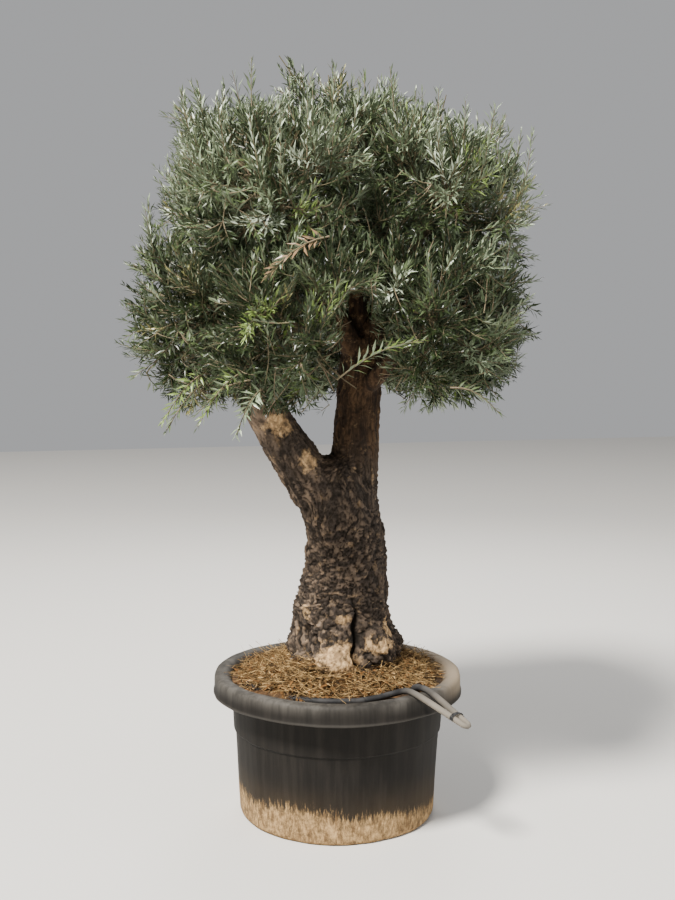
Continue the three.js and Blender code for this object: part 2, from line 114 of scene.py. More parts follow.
# Each mass of foliage: its middle, its reach, its seed, and the tops of its leaders.
FOLIAGE = {
    "left": ((-370, 8, 1534), (292, 300, 328), 11, ()),
    "front_left": ((-193, -312, 1492), (300, 290, 310), 23, ()),
    "back_left": ((-181, 326, 1520), (300, 284, 304), 37, ()),
    "right": ((350, 14, 1534), (302, 300, 320), 41, ()),
    "front_right": ((171, -316, 1506), (296, 288, 306), 53, ()),
    "back_right": ((163, 322, 1508), (300, 286, 308), 67, ()),
    "top_left_front": ((-243, -186, 1862), (324, 318, 318), 71, ((-500, -60, 2120),)),
    "top_left_back": ((-231, 206, 1850), (324, 310, 312), 83, ((-350, 170, 2150),)),
    "top_right_front": ((251, -178, 1860), (326, 318, 322), 97, ((532, -40, 2116),)),
    "top_right_back": ((247, 200, 1858), (324, 310, 316), 103, ((378, 70, 2234),)),
    "top_middle": (
        (13, 6, 1968),
        (290, 290, 282),
        113,
        ((-190, -40, 2284), (-26, 10, 2252), (172, -20, 2222)),
    ),
}
GROWTH = {
    "crown_middle": (-5, 0, 1560),
    "branchlets": 13,
    "inward_limit": -0.3,
    "branchlet_share": 0.58,
    "branchlet_spread": 0.16,
    "turn_spread": 0.5,
    "stations": (0.68, 0.95),
    "station_turn": 1.6,
    "tip_station": 0.9,
    "spray_length": 176,
    "spray_spread": 0.3,
    "spray_width": 0.31,
    "spray_roll": 0.5,
    "radial": 0.42,
    "rise": 0.45,
    "fan": 0.8,
    "shorter": (1, 0.8, 0.62, 0.46),
    "cell_margin": 3,
    "limb_margin": 6,
    "branchlet_radius": 7,
}
LEADER = {"foot": 0.2, "blade_at": 0.55, "side_at": 0.42, "side_fan": 0.55, "side_length": 158}
GOLDEN_ANGLE = math.pi * (3 - math.sqrt(5))
MASK = 0xFFFFFFFF

# Burls on the trunk that are pale where the bark has gone: middle and reach, in metres.
PALE_BURLS = (
    ((-0.048, -0.16, 0.505), (0.078, 0.08, 0.068)),
    ((0.085, -0.16, 0.545), (0.045, 0.06, 0.03)),
    ((0.125, -0.12, 0.59), (0.025, 0.05, 0.03)),
    ((-0.145, -0.085, 0.655), (0.03, 0.06, 0.045)),
    ((-0.03, -0.15, 0.626), (0.032, 0.05, 0.02)),
    ((-0.205, -0.075, 1.215), (0.045, 0.06, 0.04)),
    ((-0.115, -0.08, 1.1), (0.035, 0.05, 0.03)),
)
# A dark upright cleft in the foot of the trunk: its two ends, and its half breadth.
CLEFT = ((0.018, -0.2, 0.44), (0.008, -0.2, 0.70), 0.011)


def mix(a, b, share):
    return a + (b - a) * share


def unit(v):
    return v / np.linalg.norm(v, axis=-1, keepdims=True)


def smooth_step(low, high, value):
    share = np.clip((value - low) / (high - low), 0, 1)
    return share * share * (3 - 2 * share)


def polar(radius, degrees, z):
    turn = math.radians(degrees)
    return np.array([radius * math.cos(turn), radius * math.sin(turn), z])


def random_from(seed):
    """Repeatable random numbers from 0 to 1, the same as the solids are grown by."""
    state = seed & MASK

    def draw():
        nonlocal state
        state = (state + 0x6D2B79F5) & MASK
        mixed = state
        mixed = ((mixed ^ (mixed >> 15)) * (mixed | 1)) & MASK
        mixed ^= (mixed + (((mixed ^ (mixed >> 7)) * (mixed | 61)) & MASK)) & MASK
        return ((mixed ^ (mixed >> 14)) & MASK) / 4294967296

    return draw


# Curves

class Line:
    """A smooth line through points, read at shares of its length."""

    SAMPLES = 200

    def __init__(self, points):
        self.points = [np.array(p, float) for p in points]
        self.sampled = np.array([self.at_turn(i / self.SAMPLES) for i in range(self.SAMPLES + 1)])
        steps = np.linalg.norm(np.diff(self.sampled, axis=0), axis=1)
        self.lengths = np.concatenate([[0], np.cumsum(steps)])

    def at_turn(self, t):
        points = self.points
        last = len(points) - 1
        place = t * last
        i = min(int(place), last - 1)
        share = place - i
        p1, p2 = points[i], points[i + 1]
        p0 = points[i - 1] if i > 0 else 2 * points[0] - points[1]
        p3 = points[i + 2] if i + 2 <= last else 2 * points[last] - points[last - 1]
        d0, d1, d2 = (max(np.linalg.norm(b - a) ** 0.5, 1e-6) for a, b in ((p0, p1), (p1, p2), (p2, p3)))
        t1 = ((p1 - p0) / d0 - (p2 - p0) / (d0 + d1) + (p2 - p1) / d1) * d1
        t2 = ((p2 - p1) / d1 - (p3 - p1) / (d1 + d2) + (p3 - p2) / d2) * d1
        c2 = 3 * (p2 - p1) - 2 * t1 - t2
        c3 = 2 * (p1 - p2) + t1 + t2
        return p1 + t1 * share + c2 * share**2 + c3 * share**3

    def at(self, share):
        length = share * self.lengths[-1]
        return np.array([np.interp(length, self.lengths, self.sampled[:, k]) for k in range(3)])


def limb_radius(radii, share):
    return mix(radii[0], radii[1], share**LIMB_TAPER)


def plan_limbs():
    lines = {name: (Line(path), radii) for name, (path, radii) in BOUGHS.items()}
    for name, (parent, at, share, radii) in LIMBS.items():
        start = lines[parent][0].at(at)
        site = np.array(FOLIAGE[name.replace("limb_", "")][0], float)
        tip = mix(start, site, share)
        middle = mix(start, tip, 0.5)
        middle[2] -= LIMB_SAG * np.linalg.norm(tip - start)
        lines[name] = (Line([start, middle, tip]), radii)
    return lines


LINES = plan_limbs()
LIMB_SAMPLES = 24
LIMB_POINTS = np.array(
    [line.at(k / LIMB_SAMPLES) for line, _ in LINES.values() for k in range(LIMB_SAMPLES + 1)]
)
LIMB_ROOM = np.array(
    [limb_radius(radii, k / LIMB_SAMPLES) for _, radii in LINES.values() for k in range(LIMB_SAMPLES + 1)]
)


# The growing rule of the solids

def clear_of_limbs(start, end, width):
    points = mix(start, end, np.linspace(0, 1, 7)[:, None])
    distance = np.linalg.norm(points[:, None] - LIMB_POINTS, axis=2)
    return bool((distance >= LIMB_ROOM + width + GROWTH["limb_margin"]).all())


def turn_about(vector, axis, angle):
    return (
        vector * math.cos(angle)
        + np.cross(axis, vector) * math.sin(angle)
        + axis * np.dot(axis, vector) * (1 - math.cos(angle))
    )


class Space:
    """Where one mass may grow: its ellipsoid, and the part of it that is nearest to its own middle."""

    def __init__(self, key):
        middle, extent, *_ = FOLIAGE[key]
        self.middle = np.array(middle, float)
        self.extent = np.array(extent, float)
        others = [np.array(other[0], float) - self.middle for name, other in FOLIAGE.items() if name != key]
        self.normals = np.array([unit(other) for other in others])
        self.walls = np.array([np.linalg.norm(other) / 2 - GROWTH["cell_margin"] for other in others])

    def in_cell(self, points, slack=0.0):
        out = np.atleast_2d(points) - self.middle
        return (out @ self.normals.T < self.walls + slack).all(axis=1)

    def in_reach(self, points, share=1.0, power=2.0):
        out = (np.atleast_2d(points) - self.middle) / self.extent
        return (np.abs(out) ** power).sum(axis=1) < share**power


def spray_direction(along, side, fan, point):
    away = unit(point - np.array(GROWTH["crown_middle"]))
    return unit(mix(along, away, GROWTH["radial"]) + side * fan + UP * GROWTH["rise"])


def spray_corners(root, direction, size, across):
    thick = unit(np.cross(direction, across))
    wide = np.cross(thick, direction)
    middle = root + direction * size / 2
    half = size * GROWTH["spray_width"] / 2
    return np.array([root, root + direction * size, middle + wide * half, middle - wide * half])


def spiral_way(i, count, turn):
    """The i-th of `count` directions from a ball's top to its foot, `turn` radians round it."""
    height = 1 - 2 * (i + 0.5) / count
    flat = math.sqrt(1 - height * height)
    return np.array([flat * math.cos(turn), flat * math.sin(turn), height])


def grow_mass(key):
    """The branchlets, leaders and sprays of one mass, each spray as (root, direction, size, across)."""
    _, _, seed, leaders = FOLIAGE[key]
    space = Space(key)
    middle = space.middle
    draw = random_from(seed)
    outward = unit(middle - np.array(GROWTH["crown_middle"]))
    branchlets, sprays = [], []

    def differ(spread, share):
        return 1 + spread * (share - 0.5)

    def add_spray(root, direction, length, across, in_reach):
        for shorter in GROWTH["shorter"]:
            size = length * shorter
            corners = spray_corners(root, direction, size, across)
            fits = space.in_cell(corners).all() and (not in_reach or space.in_reach(corners).all())
            if fits and clear_of_limbs(root, corners[1], size * GROWTH["spray_width"] / 2):
                sprays.append((root, direction, size, across))
                return

    for i in range(GROWTH["branchlets"]):
        turn = i * GOLDEN_ANGLE + seed + GROWTH["turn_spread"] * (draw() - 0.5)
        out = spiral_way(i, GROWTH["branchlets"], turn)
        length = GROWTH["branchlet_share"] * differ(GROWTH["branchlet_spread"], draw())
        spins = [draw(), draw(), draw()]
        if np.dot(out, outward) < GROWTH["inward_limit"]:
            continue
        end = middle + out * space.extent * length
        clear = clear_of_limbs(mix(middle, end, 0.5), end, GROWTH["branchlet_radius"])
        if not space.in_cell(end)[0] or not clear:
            continue
        branchlets.append((middle, end))
        along = unit(end - middle)
        aside = unit(np.cross(along, np.array([0.1, 0.2, 1.0])))
        for k, station in enumerate(GROWTH["stations"]):
            root = mix(middle, end, station)
            size = GROWTH["spray_length"] * differ(GROWTH["spray_spread"], spins[1 - k])
            for way in (0, math.pi):
                side = turn_about(aside, along, GROWTH["station_turn"] * (spins[k] + k) + way)
                direction = spray_direction(along, side, GROWTH["fan"], root)
                across = np.cross(side, direction) + side * GROWTH["spray_roll"]
                add_spray(root, direction, size, across, True)
        root = mix(middle, end, GROWTH["tip_station"])
        direction = spray_direction(along, aside, GROWTH["spray_spread"] * (spins[2] - 0.5), end)
        size = GROWTH["spray_length"] * differ(GROWTH["spray_spread"], spins[2])
        add_spray(root, direction, size, aside, True)

    stems = []
    for leader in leaders:
        top = np.array(leader, float)
        foot = mix(middle, top, LEADER["foot"])
        along = unit(top - foot)
        aside = unit(np.cross(along, np.array([1.0, 0.3, 0.0])))
        reach = np.linalg.norm(top - foot)
        stems.append((foot, top))
        add_spray(mix(foot, top, LEADER["blade_at"]), along, (1 - LEADER["blade_at"]) * reach, aside, False)
        for way in (1, -1):
            side = aside * way
            root = mix(foot, top, LEADER["side_at"])
            direction = unit(along + side * LEADER["side_fan"])
            add_spray(root, direction, LEADER["side_length"], np.cross(side, direction), False)
    return space, branchlets, sprays, stems


# Finer growth on the same rule

# The leaves' own reach is squarer than a ball, to fill the corners between the solids' masses. A ball has 2.
FULLNESS = 2.75
# The dome over the whole crown, in mm. Upright shoots stand out of it by `tufts` of its reach, in waves.
DOME = {
    "middle": (-25, 0, 1560),
    "reach": (690, 680, 615),
    "roundness": 2.25,
    "tufts": 1.13,
    "wave": 0.068,
    "wave_lengths": (22, 34),
}
# The crown's underside, in mm: it hangs lower on the left, and tufts stand out of it.
UNDERSIDE = {"height": 1262, "droop": 80, "droops_from": -330, "droops_to": -450, "tufts": 400}
# Where the crown stays open before the centre bough: a sight line, its half breadths and its heights, in mm.
OPENING = {
    "bough": (66, 0),
    "way": (-0.302, -0.953),
    "breadths": (150, 60),
    "low": 1130,
    "high": 1600,
    "wave": 0.45,
    "wave_lengths": (23, 60),
}


def in_opening(points):
    """Whether the points lie where the crown stays open."""
    x, y, z = (points - (*OPENING["bough"], 0)).T
    way = OPENING["way"]
    ahead = x * way[0] + y * way[1] > 0
    aside = np.abs(x * way[1] - y * way[0])
    low, high = OPENING["low"], OPENING["high"]
    share = np.clip((z - low) / (high - low), 0, 1)
    up, back = OPENING["wave_lengths"]
    wave = 1 + OPENING["wave"] * np.sin(z / up + y / back)
    breadth = mix(*OPENING["breadths"], share) * np.sqrt(1 - share**2) * wave
    return ahead & (aside < breadth) & (z > low) & (z < high)


def dome_share(points):
    """How far out of the dome's middle the points lie: 1 is on its skin."""
    out = np.abs((points - np.array(DOME["middle"])) / DOME["reach"])
    out[:, 2] *= points[:, 2] > DOME["middle"][2]
    return (out ** DOME["roundness"]).sum(axis=1) ** (1 / DOME["roundness"])


def in_dome(points, room=1.0):
    """Whether the points lie under the dome, made larger by `room`, and above the crown's underside."""
    x, y, z = points.T
    if room == DOME["tufts"]:
        length, width = DOME["wave_lengths"]
        room = room + DOME["wave"] * np.sin(x / length + 0.9) * np.cos(y / width)
    droop = UNDERSIDE["droop"] * smooth_step(UNDERSIDE["droops_from"], UNDERSIDE["droops_to"], x)
    above = z > UNDERSIDE["height"] - droop - UNDERSIDE["tufts"] * (room - 1)
    return above & (dome_share(points) < room)


def bowed(start, end, rows, bow):
    """Points from start to end that stand out sideways by `bow` halfway."""
    return mix(start, end, rows) + bow * np.sin(math.pi * rows)


def rows_of(count):
    return np.linspace(0, 1, count)[:, None]


class Growth:
    """Collects stems, as rows of points with a thickness each, and the leaves along them."""

    SHOOT_ROWS = 4
    SHOOT_TRIES = 4
    SHORTER = 0.78  # of its length, for each further try

    def __init__(self, key, space, leaf):
        self.key = key
        self.random = np.random.default_rng(FOLIAGE[key][2] + 1000)
        self.space = space
        self.leaf = leaf
        self.points, self.edges, self.radii = [], [], []
        self.leaves = []

    def stem(self, points, radii):
        first = len(self.points)
        self.points.extend(points)
        self.radii.extend(radii)
        self.edges.extend((first + i, first + i + 1) for i in range(len(points) - 1))

    def sway(self, amount):
        return self.random.uniform(-amount, amount, 3)

    def pick(self, *tints):
        return int(self.random.choice(tints))

    def shoot(self, start, direction, length, radius, tint, bare=0.12, free=False):
        """A bent stem with pairs of leaves, each a quarter turn from the last, shortened until it fits."""
        higher = 1 + 1.6 * smooth_step(1600, 2000, start[2])
        lift = self.leaf.shoot_lift * self.random.uniform(0.3, 1.0) * higher
        bend = UP * lift + self.sway(0.1)
        rows = rows_of(self.SHOOT_ROWS)
        for _ in range(self.SHOOT_TRIES):
            points = start + direction * length * rows + bend * length * rows**2
            if self.fits(points[1:], free):
                break
            length *= self.SHORTER
        else:
            return
        self.stem(points, radius * np.linspace(1, 0.45, self.SHOOT_ROWS))
        self.pairs(points, length, tint, bare, free)

    def stray(self, start, end, tint, leafiness):
        """A single bent shoot that leaves its mass."""
        points = bowed(np.array(start, float), np.array(end, float), rows_of(6), UP * 22)
        self.stem(points, np.linspace(3, 1.2, 6))
        self.pairs(points, np.linalg.norm(points[-1] - points[0]) * leafiness, tint, 0.05, None)

    def fits(self, points, free):
        in_cell = self.space.in_cell(points, self.leaf.overlap / MM).all()
        in_reach = free or self.space.in_reach(points, 0.99, FULLNESS).all()
        under = in_dome(points, DOME["tufts"] if free else 1.0) & ~in_opening(points)
        return bool(in_cell and in_reach and under.all())

    def leaf_fits(self, roots, tips, free):
        kept = self.space.in_cell(tips, 1.3 * self.leaf.overlap / MM)
        kept &= in_dome(tips, DOME["tufts"] if free else 1.05)
        kept &= ~in_opening(tips) & ~in_opening(roots)
        return kept & (free or self.space.in_reach(tips, 1.05, FULLNESS))

    def pairs(self, points, length, tint, bare, free):
        """Leaves along a stem; `free` is None where nothing holds them in."""
        leaf = self.leaf
        random = self.random
        count = max(2, int(length * (1 - bare) / (leaf.pair_spacing / MM)))
        shares = bare + (1 - bare) * (np.arange(count) + 1) / count
        place = shares * (len(points) - 1)
        low = np.minimum(place.astype(int), len(points) - 2)
        steps = np.diff(points, axis=0)
        roots = points[low] + steps[low] * (place - low)[:, None]
        along = unit(steps[low])
        aside = unit(np.cross(along, along + [0.31, 0.77, 0.13]))
        other = np.cross(along, aside)
        turns = random.uniform(0, math.pi) + np.arange(count) * math.pi / 2 + random.normal(0, 0.22, count)
        for way in (0, math.pi):
            turn = (turns + way)[:, None]
            side = aside * np.cos(turn) + other * np.sin(turn)
            spread = np.radians(mix(58, 16, shares**1.5) + random.normal(0, 9, count))[:, None]
            direction = unit(along * np.cos(spread) + side * np.sin(spread) + UP * 0.12)
            facing = along * 0.55 + UP * 0.55 + random.normal(0, 0.22, (count, 3))
            normal = unit(facing - direction * (facing * direction).sum(axis=1, keepdims=True))
            size = (1 - 0.42 * shares**3) * random.uniform(0.72, 1.12, count)
            tips = roots + direction * (size * leaf.length / MM)[:, None]
            kept = np.ones(count, bool) if free is None else self.leaf_fits(roots, tips, free)
            for i in np.flatnonzero(kept):
                self.leaves.append((roots[i], direction[i], normal[i], size[i], tint))


TINTS = ("grey_green", "shaded_green", "sage", "silver", "fresh_green", "straw_green", "dry")
GREY_GREEN, SHADED_GREEN, SAGE, SILVER, FRESH_GREEN, STRAW_GREEN, DRY = range(len(TINTS))

# Single shoots in front of the crown: the mass of each, its two ends in mm, its tint, and how leafy it is.
STRAYS = (
    ("front_left", (-150, -500, 1352), (66, -545, 1452), FRESH_GREEN, 1.0),
    ("front_left", (-176, -520, 1716), (-352, -560, 1606), DRY, 0.9),
    ("front_left", (-330, -430, 1330), (-420, -520, 1215), SAGE, 1.1),
    ("front_left", (-380, -390, 1370), (-505, -440, 1232), FRESH_GREEN, 1.1),
    ("front_left", (-360, -410, 1350), (-500, -400, 1262), GREY_GREEN, 1.1),
    ("left", (-440, -200, 1370), (-572, -270, 1235), FRESH_GREEN, 1.1),
    ("left", (-420, -160, 1350), (-545, -150, 1205), GREY_GREEN, 1.1),
    ("front_right", (150, -540, 1330), (270, -590, 1262), GREY_GREEN, 1.0),
)


def spray_tint(random, root):
    """Sprays are grey-green and paler on top, partly as painted light, and deeper inside and below as painted
    shade, with a few fresh or yellowing ones.
    """
    height = (root[2] - 1250) / 1000
    inside = 1 - dome_share(np.array(root)[None])[0]
    odds = {
        GREY_GREEN: 0.40 * min(1, 0.5 + max(0, height)),
        SHADED_GREEN: 0.06 + 2.4 * max(0, inside - 0.16) + 3.2 * max(0, 0.5 - height),
        SAGE: 0.03 + 1.0 * max(0, height - 0.25),
        SILVER: 0.02 + 1.1 * max(0, height - 0.45),
        FRESH_GREEN: 0.06,
        STRAW_GREEN: 0.025,
    }
    return int(random.choice(list(odds), p=np.array(list(odds.values())) / sum(odds.values())))


def grow_branchlets(growth, branchlets, stems):
    """The solids' branchlets and leaders, bent, with short shoots near their feet."""
    leaf, random = growth.leaf, growth.random
    rows = rows_of(6)
    for (start, end), radius in [(pair, 6.5) for pair in branchlets] + [(pair, 5.5) for pair in stems]:
        bow = growth.sway(0.09) * np.linalg.norm(end - start)
        points = bowed(start, end, rows, bow)
        growth.stem(points, mix(radius, 1.8, rows[:, 0]))
        along = unit(end - start)
        for _ in range(leaf.inner_shoots):
            share = random.uniform(0.22, 0.8)
            side = unit(np.cross(along, growth.sway(1.0)))
            direction = unit(along * random.uniform(0.1, 0.9) + side + UP * 0.35)
            # Inner shoots are mostly deep green: painted shade inside the crown.
            tint = growth.pick(GREY_GREEN, SHADED_GREEN, SHADED_GREEN, SHADED_GREEN, FRESH_GREEN)
            growth.shoot(points[int(share * 5)], direction, random.uniform(90, 150), 1.8, tint, bare=0.25)


def grow_fillers(growth):
    """Further branchlets with shoots, between those of the solids."""
    space, leaf, random = growth.space, growth.leaf, growth.random
    rows = rows_of(6)
    for i in range(leaf.fillers):
        out = spiral_way(i, leaf.fillers, i * GOLDEN_ANGLE + 0.5 * FOLIAGE[growth.key][2])
        corner = (np.abs(out) ** FULLNESS).sum() ** (-1 / FULLNESS)
        end = space.middle + out * space.extent * corner * random.uniform(0.5, 0.84)
        if not space.in_cell(end)[0] or not clear_of_limbs(mix(space.middle, end, 0.45), end, 4):
            continue
        points = bowed(space.middle, end, rows, growth.sway(0.1) * 200)
        growth.stem(points, mix(4.5, 1.6, rows[:, 0]))
        along = unit(end - space.middle)
        for k in range(leaf.filler_shoots):
            root = points[2 + k * 3 // leaf.filler_shoots]
            side = unit(np.cross(along, growth.sway(1.0)))
            direction = unit(along * random.uniform(0.3, 1.0) + side + UP * 0.3)
            growth.shoot(root, direction, random.uniform(90, 150), 1.7, spray_tint(random, root), bare=0.15)
        growth.shoot(points[-2], along, 120, 1.7, spray_tint(random, end))


def grow_sprays(growth, sprays):
    """A leafy shoot along each of the solids' sprays, with side shoots in its plane."""
    space, leaf, random = growth.space, growth.leaf, growth.random
    for root, direction, size, across in sprays:
        free = not space.in_reach(root + direction * size)[0]
        tint = spray_tint(random, root)
        thick = unit(np.cross(direction, across))
        wide = np.cross(thick, direction)
        growth.shoot(root, direction, size, 2.4, tint, free=free)
        for k in range(leaf.side_shoots):
            share = (k + 0.4) / leaf.side_shoots * 0.62
            way = 1 if k % 2 else -1
            angle = math.radians(random.uniform(24, 46))
            out = wide * way * math.sin(angle) + thick * random.uniform(-0.45, 0.45)
            start = root + direction * size * share
            length = size * (0.72 - 0.4 * share) * random.uniform(0.8, 1.15)
            growth.shoot(start, unit(direction * math.cos(angle) + out), length, 1.6, tint, free=free)


def grow_risers(growth, sprays):
    """Upright shoots at the tips of the sprays on top, which make the crown's tufts."""
    random = growth.random
    for root, direction, size, _ in sprays:
        tip = root + direction * size
        share = growth.leaf.riser_share * smooth_step(1500, 2050, tip[2])
        if random.uniform() < share and direction[2] > 0.1:
            foot = tip - direction * size * 0.35
            # Sage and silver on top: partly painted light.
            tint = growth.pick(GREY_GREEN, SAGE, SAGE, SILVER)
            growth.shoot(foot, unit(direction * 0.45 + UP), random.uniform(110, 225), 1.9, tint, free=True)


def finder_of(points):
    """Finds the nearest of many points."""
    finder = KDTree(len(points))
    for i, point in enumerate(points):
        finder.insert(point, i)
    finder.balance()
    return finder


def fill_gaps(growth):
    """Leafy shoots from the nearest stem to every part of the mass that has no leaf near it."""
    space, random = growth.space, growth.random
    gap = growth.leaf.gap / MM
    steps = [np.arange(-reach, reach, gap) for reach in space.extent]
    spots = space.middle + np.stack(np.meshgrid(*steps, indexing="ij"), axis=-1).reshape(-1, 3)
    spots += random.uniform(-0.4, 0.4, spots.shape) * gap
    spots = spots[space.in_cell(spots) & space.in_reach(spots, 0.83, FULLNESS) & in_dome(spots, 0.9)]
    leaves = finder_of([root for root, *_ in growth.leaves])
    stems = finder_of(growth.points)
    for spot in spots:
        if leaves.find(spot)[2] < 0.8 * gap or not clear_of_limbs(spot, spot, 12):
            continue
        root, _, away = stems.find(spot)
        root = np.array(root)
        length = min(away + 0.8 * gap, 230)
        # Gap shoots are mostly deep green: painted shade inside the mass.
        tint = growth.pick(GREY_GREEN, SHADED_GREEN, SHADED_GREEN)
        growth.shoot(root, unit(spot - root), length, 1.7, tint, bare=0.2)


def grow_finely(key, leaf):
    """One mass carried on to leafy shoots: the solids' branchlets and sprays are its plan."""
    space, branchlets, sprays, stems = grow_mass(key)
    growth = Growth(key, space, leaf)
    line, radii = LINES.get("limb_" + key) or LINES["bough_" + key]
    foot = line.at(0.96)
    bow = growth.sway(0.05) * np.linalg.norm(space.middle - foot)
    rows = rows_of(6)
    growth.stem(bowed(foot, space.middle, rows, bow), mix(radii[1] * 0.97, 8, rows[:, 0]))
    grow_branchlets(growth, branchlets, stems)
    grow_fillers(growth)
    grow_sprays(growth, sprays)
    grow_risers(growth, sprays)
    for start, end in stems:
        points = mix(start, end, np.linspace(0.35, 1, 5)[:, None])
        growth.pairs(points, 0.65 * np.linalg.norm(end - start), growth.pick(GREY_GREEN, SAGE), 0.0, True)
    fill_gaps(growth)
    for mass, start, end, tint, leafiness in STRAYS:
        if mass == key:
            growth.stray(start, end, tint, leafiness)
    return growth


# Meshes

def add_object(name, mesh):
    piece = bpy.data.objects.new(name, mesh)
    bpy.context.scene.collection.objects.link(piece)
    return piece


def mesh_of(name, points, faces=(), edges=()):
    mesh = bpy.data.meshes.new(name)
    mesh.from_pydata([tuple(p) for p in points], [tuple(e) for e in edges], [tuple(f) for f in faces])
    mesh.update()
    return mesh


def ring_faces(low, sides):
    """The faces between a ring of points that starts at `low` and the next one."""
    pairs = [(low + k, low + (k + 1) % sides) for k in range(sides)]
    return [(a, b, b + sides, a + sides) for a, b in pairs]


def smooth_shaded(mesh, degrees=38):
    mesh.polygons.foreach_set("use_smooth", np.ones(len(mesh.polygons), bool))
    mesh.set_sharp_from_angle(angle=math.radians(degrees))


def put_attribute(mesh, name, values, kind="FLOAT"):
    attribute = mesh.attributes.new(name, kind, "POINT")
    key = "vector" if kind == "FLOAT_VECTOR" else "value"
    attribute.data.foreach_set(key, np.asarray(values).ravel())


def read_vectors(items, key):
    values = np.zeros(len(items) * 3, np.float32)
    items.foreach_get(key, values)
    return values.reshape(-1, 3)


def set_points(mesh, points):
    mesh.vertices.foreach_set("co", np.asarray(points, np.float32).ravel())
    mesh.update()


def lathe(name, rings, sides, place):
    """A closed surface round +Z from place(i, angle), a point of ring i. The end rings are poles."""
    angles = np.linspace(0, 2 * math.pi, sides, endpoint=False)
    points = [place(0, 0.0)]
    for i in range(1, rings - 1):
        points.extend(place(i, angle) for angle in angles)
    points.append(place(rings - 1, 0.0))
    last = len(points) - 1
    faces = []
    for j in range(sides):
        after = (j + 1) % sides
        faces.append((0, 1 + after, 1 + j))
        for i in range(rings - 3):
            low, high = 1 + i * sides, 1 + (i + 1) * sides
            faces.append((low + j, low + after, high + after, high + j))
        low = 1 + (rings - 3) * sides
        faces.append((low + j, low + after, last))
    return mesh_of(name, points, faces)


def finish_piece(piece, slot, *nodes):
    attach(piece, "root")
    if nodes:
        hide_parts(*nodes)
    return piece


def evaluated(carrier):
    """The carrier's mesh with its modifiers applied; the carrier goes."""
    depsgraph = bpy.context.evaluated_depsgraph_get()
    mesh = bpy.data.meshes.new_from_object(carrier.evaluated_get(depsgraph), depsgraph=depsgraph)
    carrier.modifiers.clear()
    bpy.data.objects.remove(carrier)
    return mesh


# Node trees

class Tree:
    """Adds nodes to a tree, with each input given as a value or as another node's output."""

    def __init__(self, tree):
        self.tree = tree

    def add(self, kind, inputs=None, **settings):
        node = self.tree.nodes.new(kind)
        for key, value in settings.items():
            setattr(node, key, value)
        for key, value in (inputs or {}).items():
            socket = node.inputs[key]
            if isinstance(value, bpy.types.NodeSocket):
                self.link(value, socket)
            else:
                socket.default_value = value
        return node

    def made(self, kind, inputs=None, **settings):
        return self.add(kind, inputs, **settings).outputs[0]

    def link(self, source, target):
        self.tree.links.new(source, target)

    def math(self, operation, a, b):
        return self.made("ShaderNodeMath", {0: a, 1: b}, operation=operation)

    def times(self, a, b):
        return self.math("MULTIPLY", a, b)

    def plus(self, a, b):
        return self.math("ADD", a, b)

    def named(self, name, kind="FLOAT"):
        node = self.add("GeometryNodeInputNamedAttribute", {"Name": name}, data_type=kind)
        return node.outputs["Attribute"]

    def repeated(self, shape, points, turn, scale):
        """The shape on each point, turned and sized, as real geometry."""
        source = self.add("GeometryNodeObjectInfo", {"Object": shape}).outputs["Geometry"]
        turned = self.made("FunctionNodeEulerToRotation", {0: turn})
        inputs = {"Points": points, "Instance": source, "Rotation": turned, "Scale": scale}
        placed = self.made("GeometryNodeInstanceOnPoints", inputs)
        return self.made("GeometryNodeRealizeInstances", {0: placed})

    def dress(self, geometry, material, selection=True):
        inputs = {"Geometry": geometry, "Material": material, "Selection": selection}
        return self.made("GeometryNodeSetMaterial", inputs)


class Finish(Tree):
    """A procedural material on Object coordinates."""

    def __init__(self, name, roughness=0.8, specular=0.5):
        self.material = plain_material(name, (0.8, 0.8, 0.8), roughness, specular)
        super().__init__(self.material.node_tree)
        self.shader = self.tree.nodes["Principled BSDF"]
        self.place = self.add("ShaderNodeTexCoord").outputs["Object"]

    def stretched(self, scale):
        return self.made("ShaderNodeMapping", {"Vector": self.place, "Scale": scale})

    def noise(self, scale, vector=None, detail=4.0, roughness=0.55):
        inputs = {"Vector": vector or self.place, "Scale": scale, "Detail": detail, "Roughness": roughness}
        return self.add("ShaderNodeTexNoise", inputs).outputs["Fac"]

    def attribute(self, name):
        return self.add("ShaderNodeAttribute", attribute_name=name).outputs["Fac"]

    def range(self, value, low, high, to_low=0.0, to_high=1.0):
        inputs = {"Value": value, 1: low, 2: high, 3: to_low, 4: to_high}
        return self.made("ShaderNodeMapRange", inputs, interpolation_type="SMOOTHSTEP")

    def band(self, value, low, high, fall, end):
        """Rises from low to high, and falls again from `fall` to `end`."""
        return self.times(self.range(value, low, high), self.range(value, fall, end, 1.0, 0.0))

    def part(self, axis):
        return self.add("ShaderNodeSeparateXYZ", {0: self.place}).outputs[axis]

    def mixed(self, factor, a, b):
        a, b = (value if isinstance(value, bpy.types.NodeSocket) else (*value, 1.0) for value in (a, b))
        return self.add("ShaderNodeMix", {0: factor, 6: a, 7: b}, data_type="RGBA").outputs[2]

    def finish(self, colour, bump=None, strength=0.5, distance=0.002, roughness=None):
        self.link(colour, self.shader.inputs["Base Color"])
        if roughness is not None:
            self.link(roughness, self.shader.inputs["Roughness"])
        if bump is not None:
            inputs = {"Height": bump, "Strength": strength, "Distance": distance}
            self.link(self.made("ShaderNodeBump", inputs), self.shader.inputs["Normal"])
        return self.material


def plain_material(name, colour, roughness, specular=0.5):
    material = bpy.data.materials.new(name)
    material.use_nodes = True
    shader = material.node_tree.nodes["Principled BSDF"]
    shader.inputs["Base Color"].default_value = (*colour, 1.0)
    shader.inputs["Roughness"].default_value = roughness
    shader.inputs["Specular IOR Level"].default_value = specular
    return material


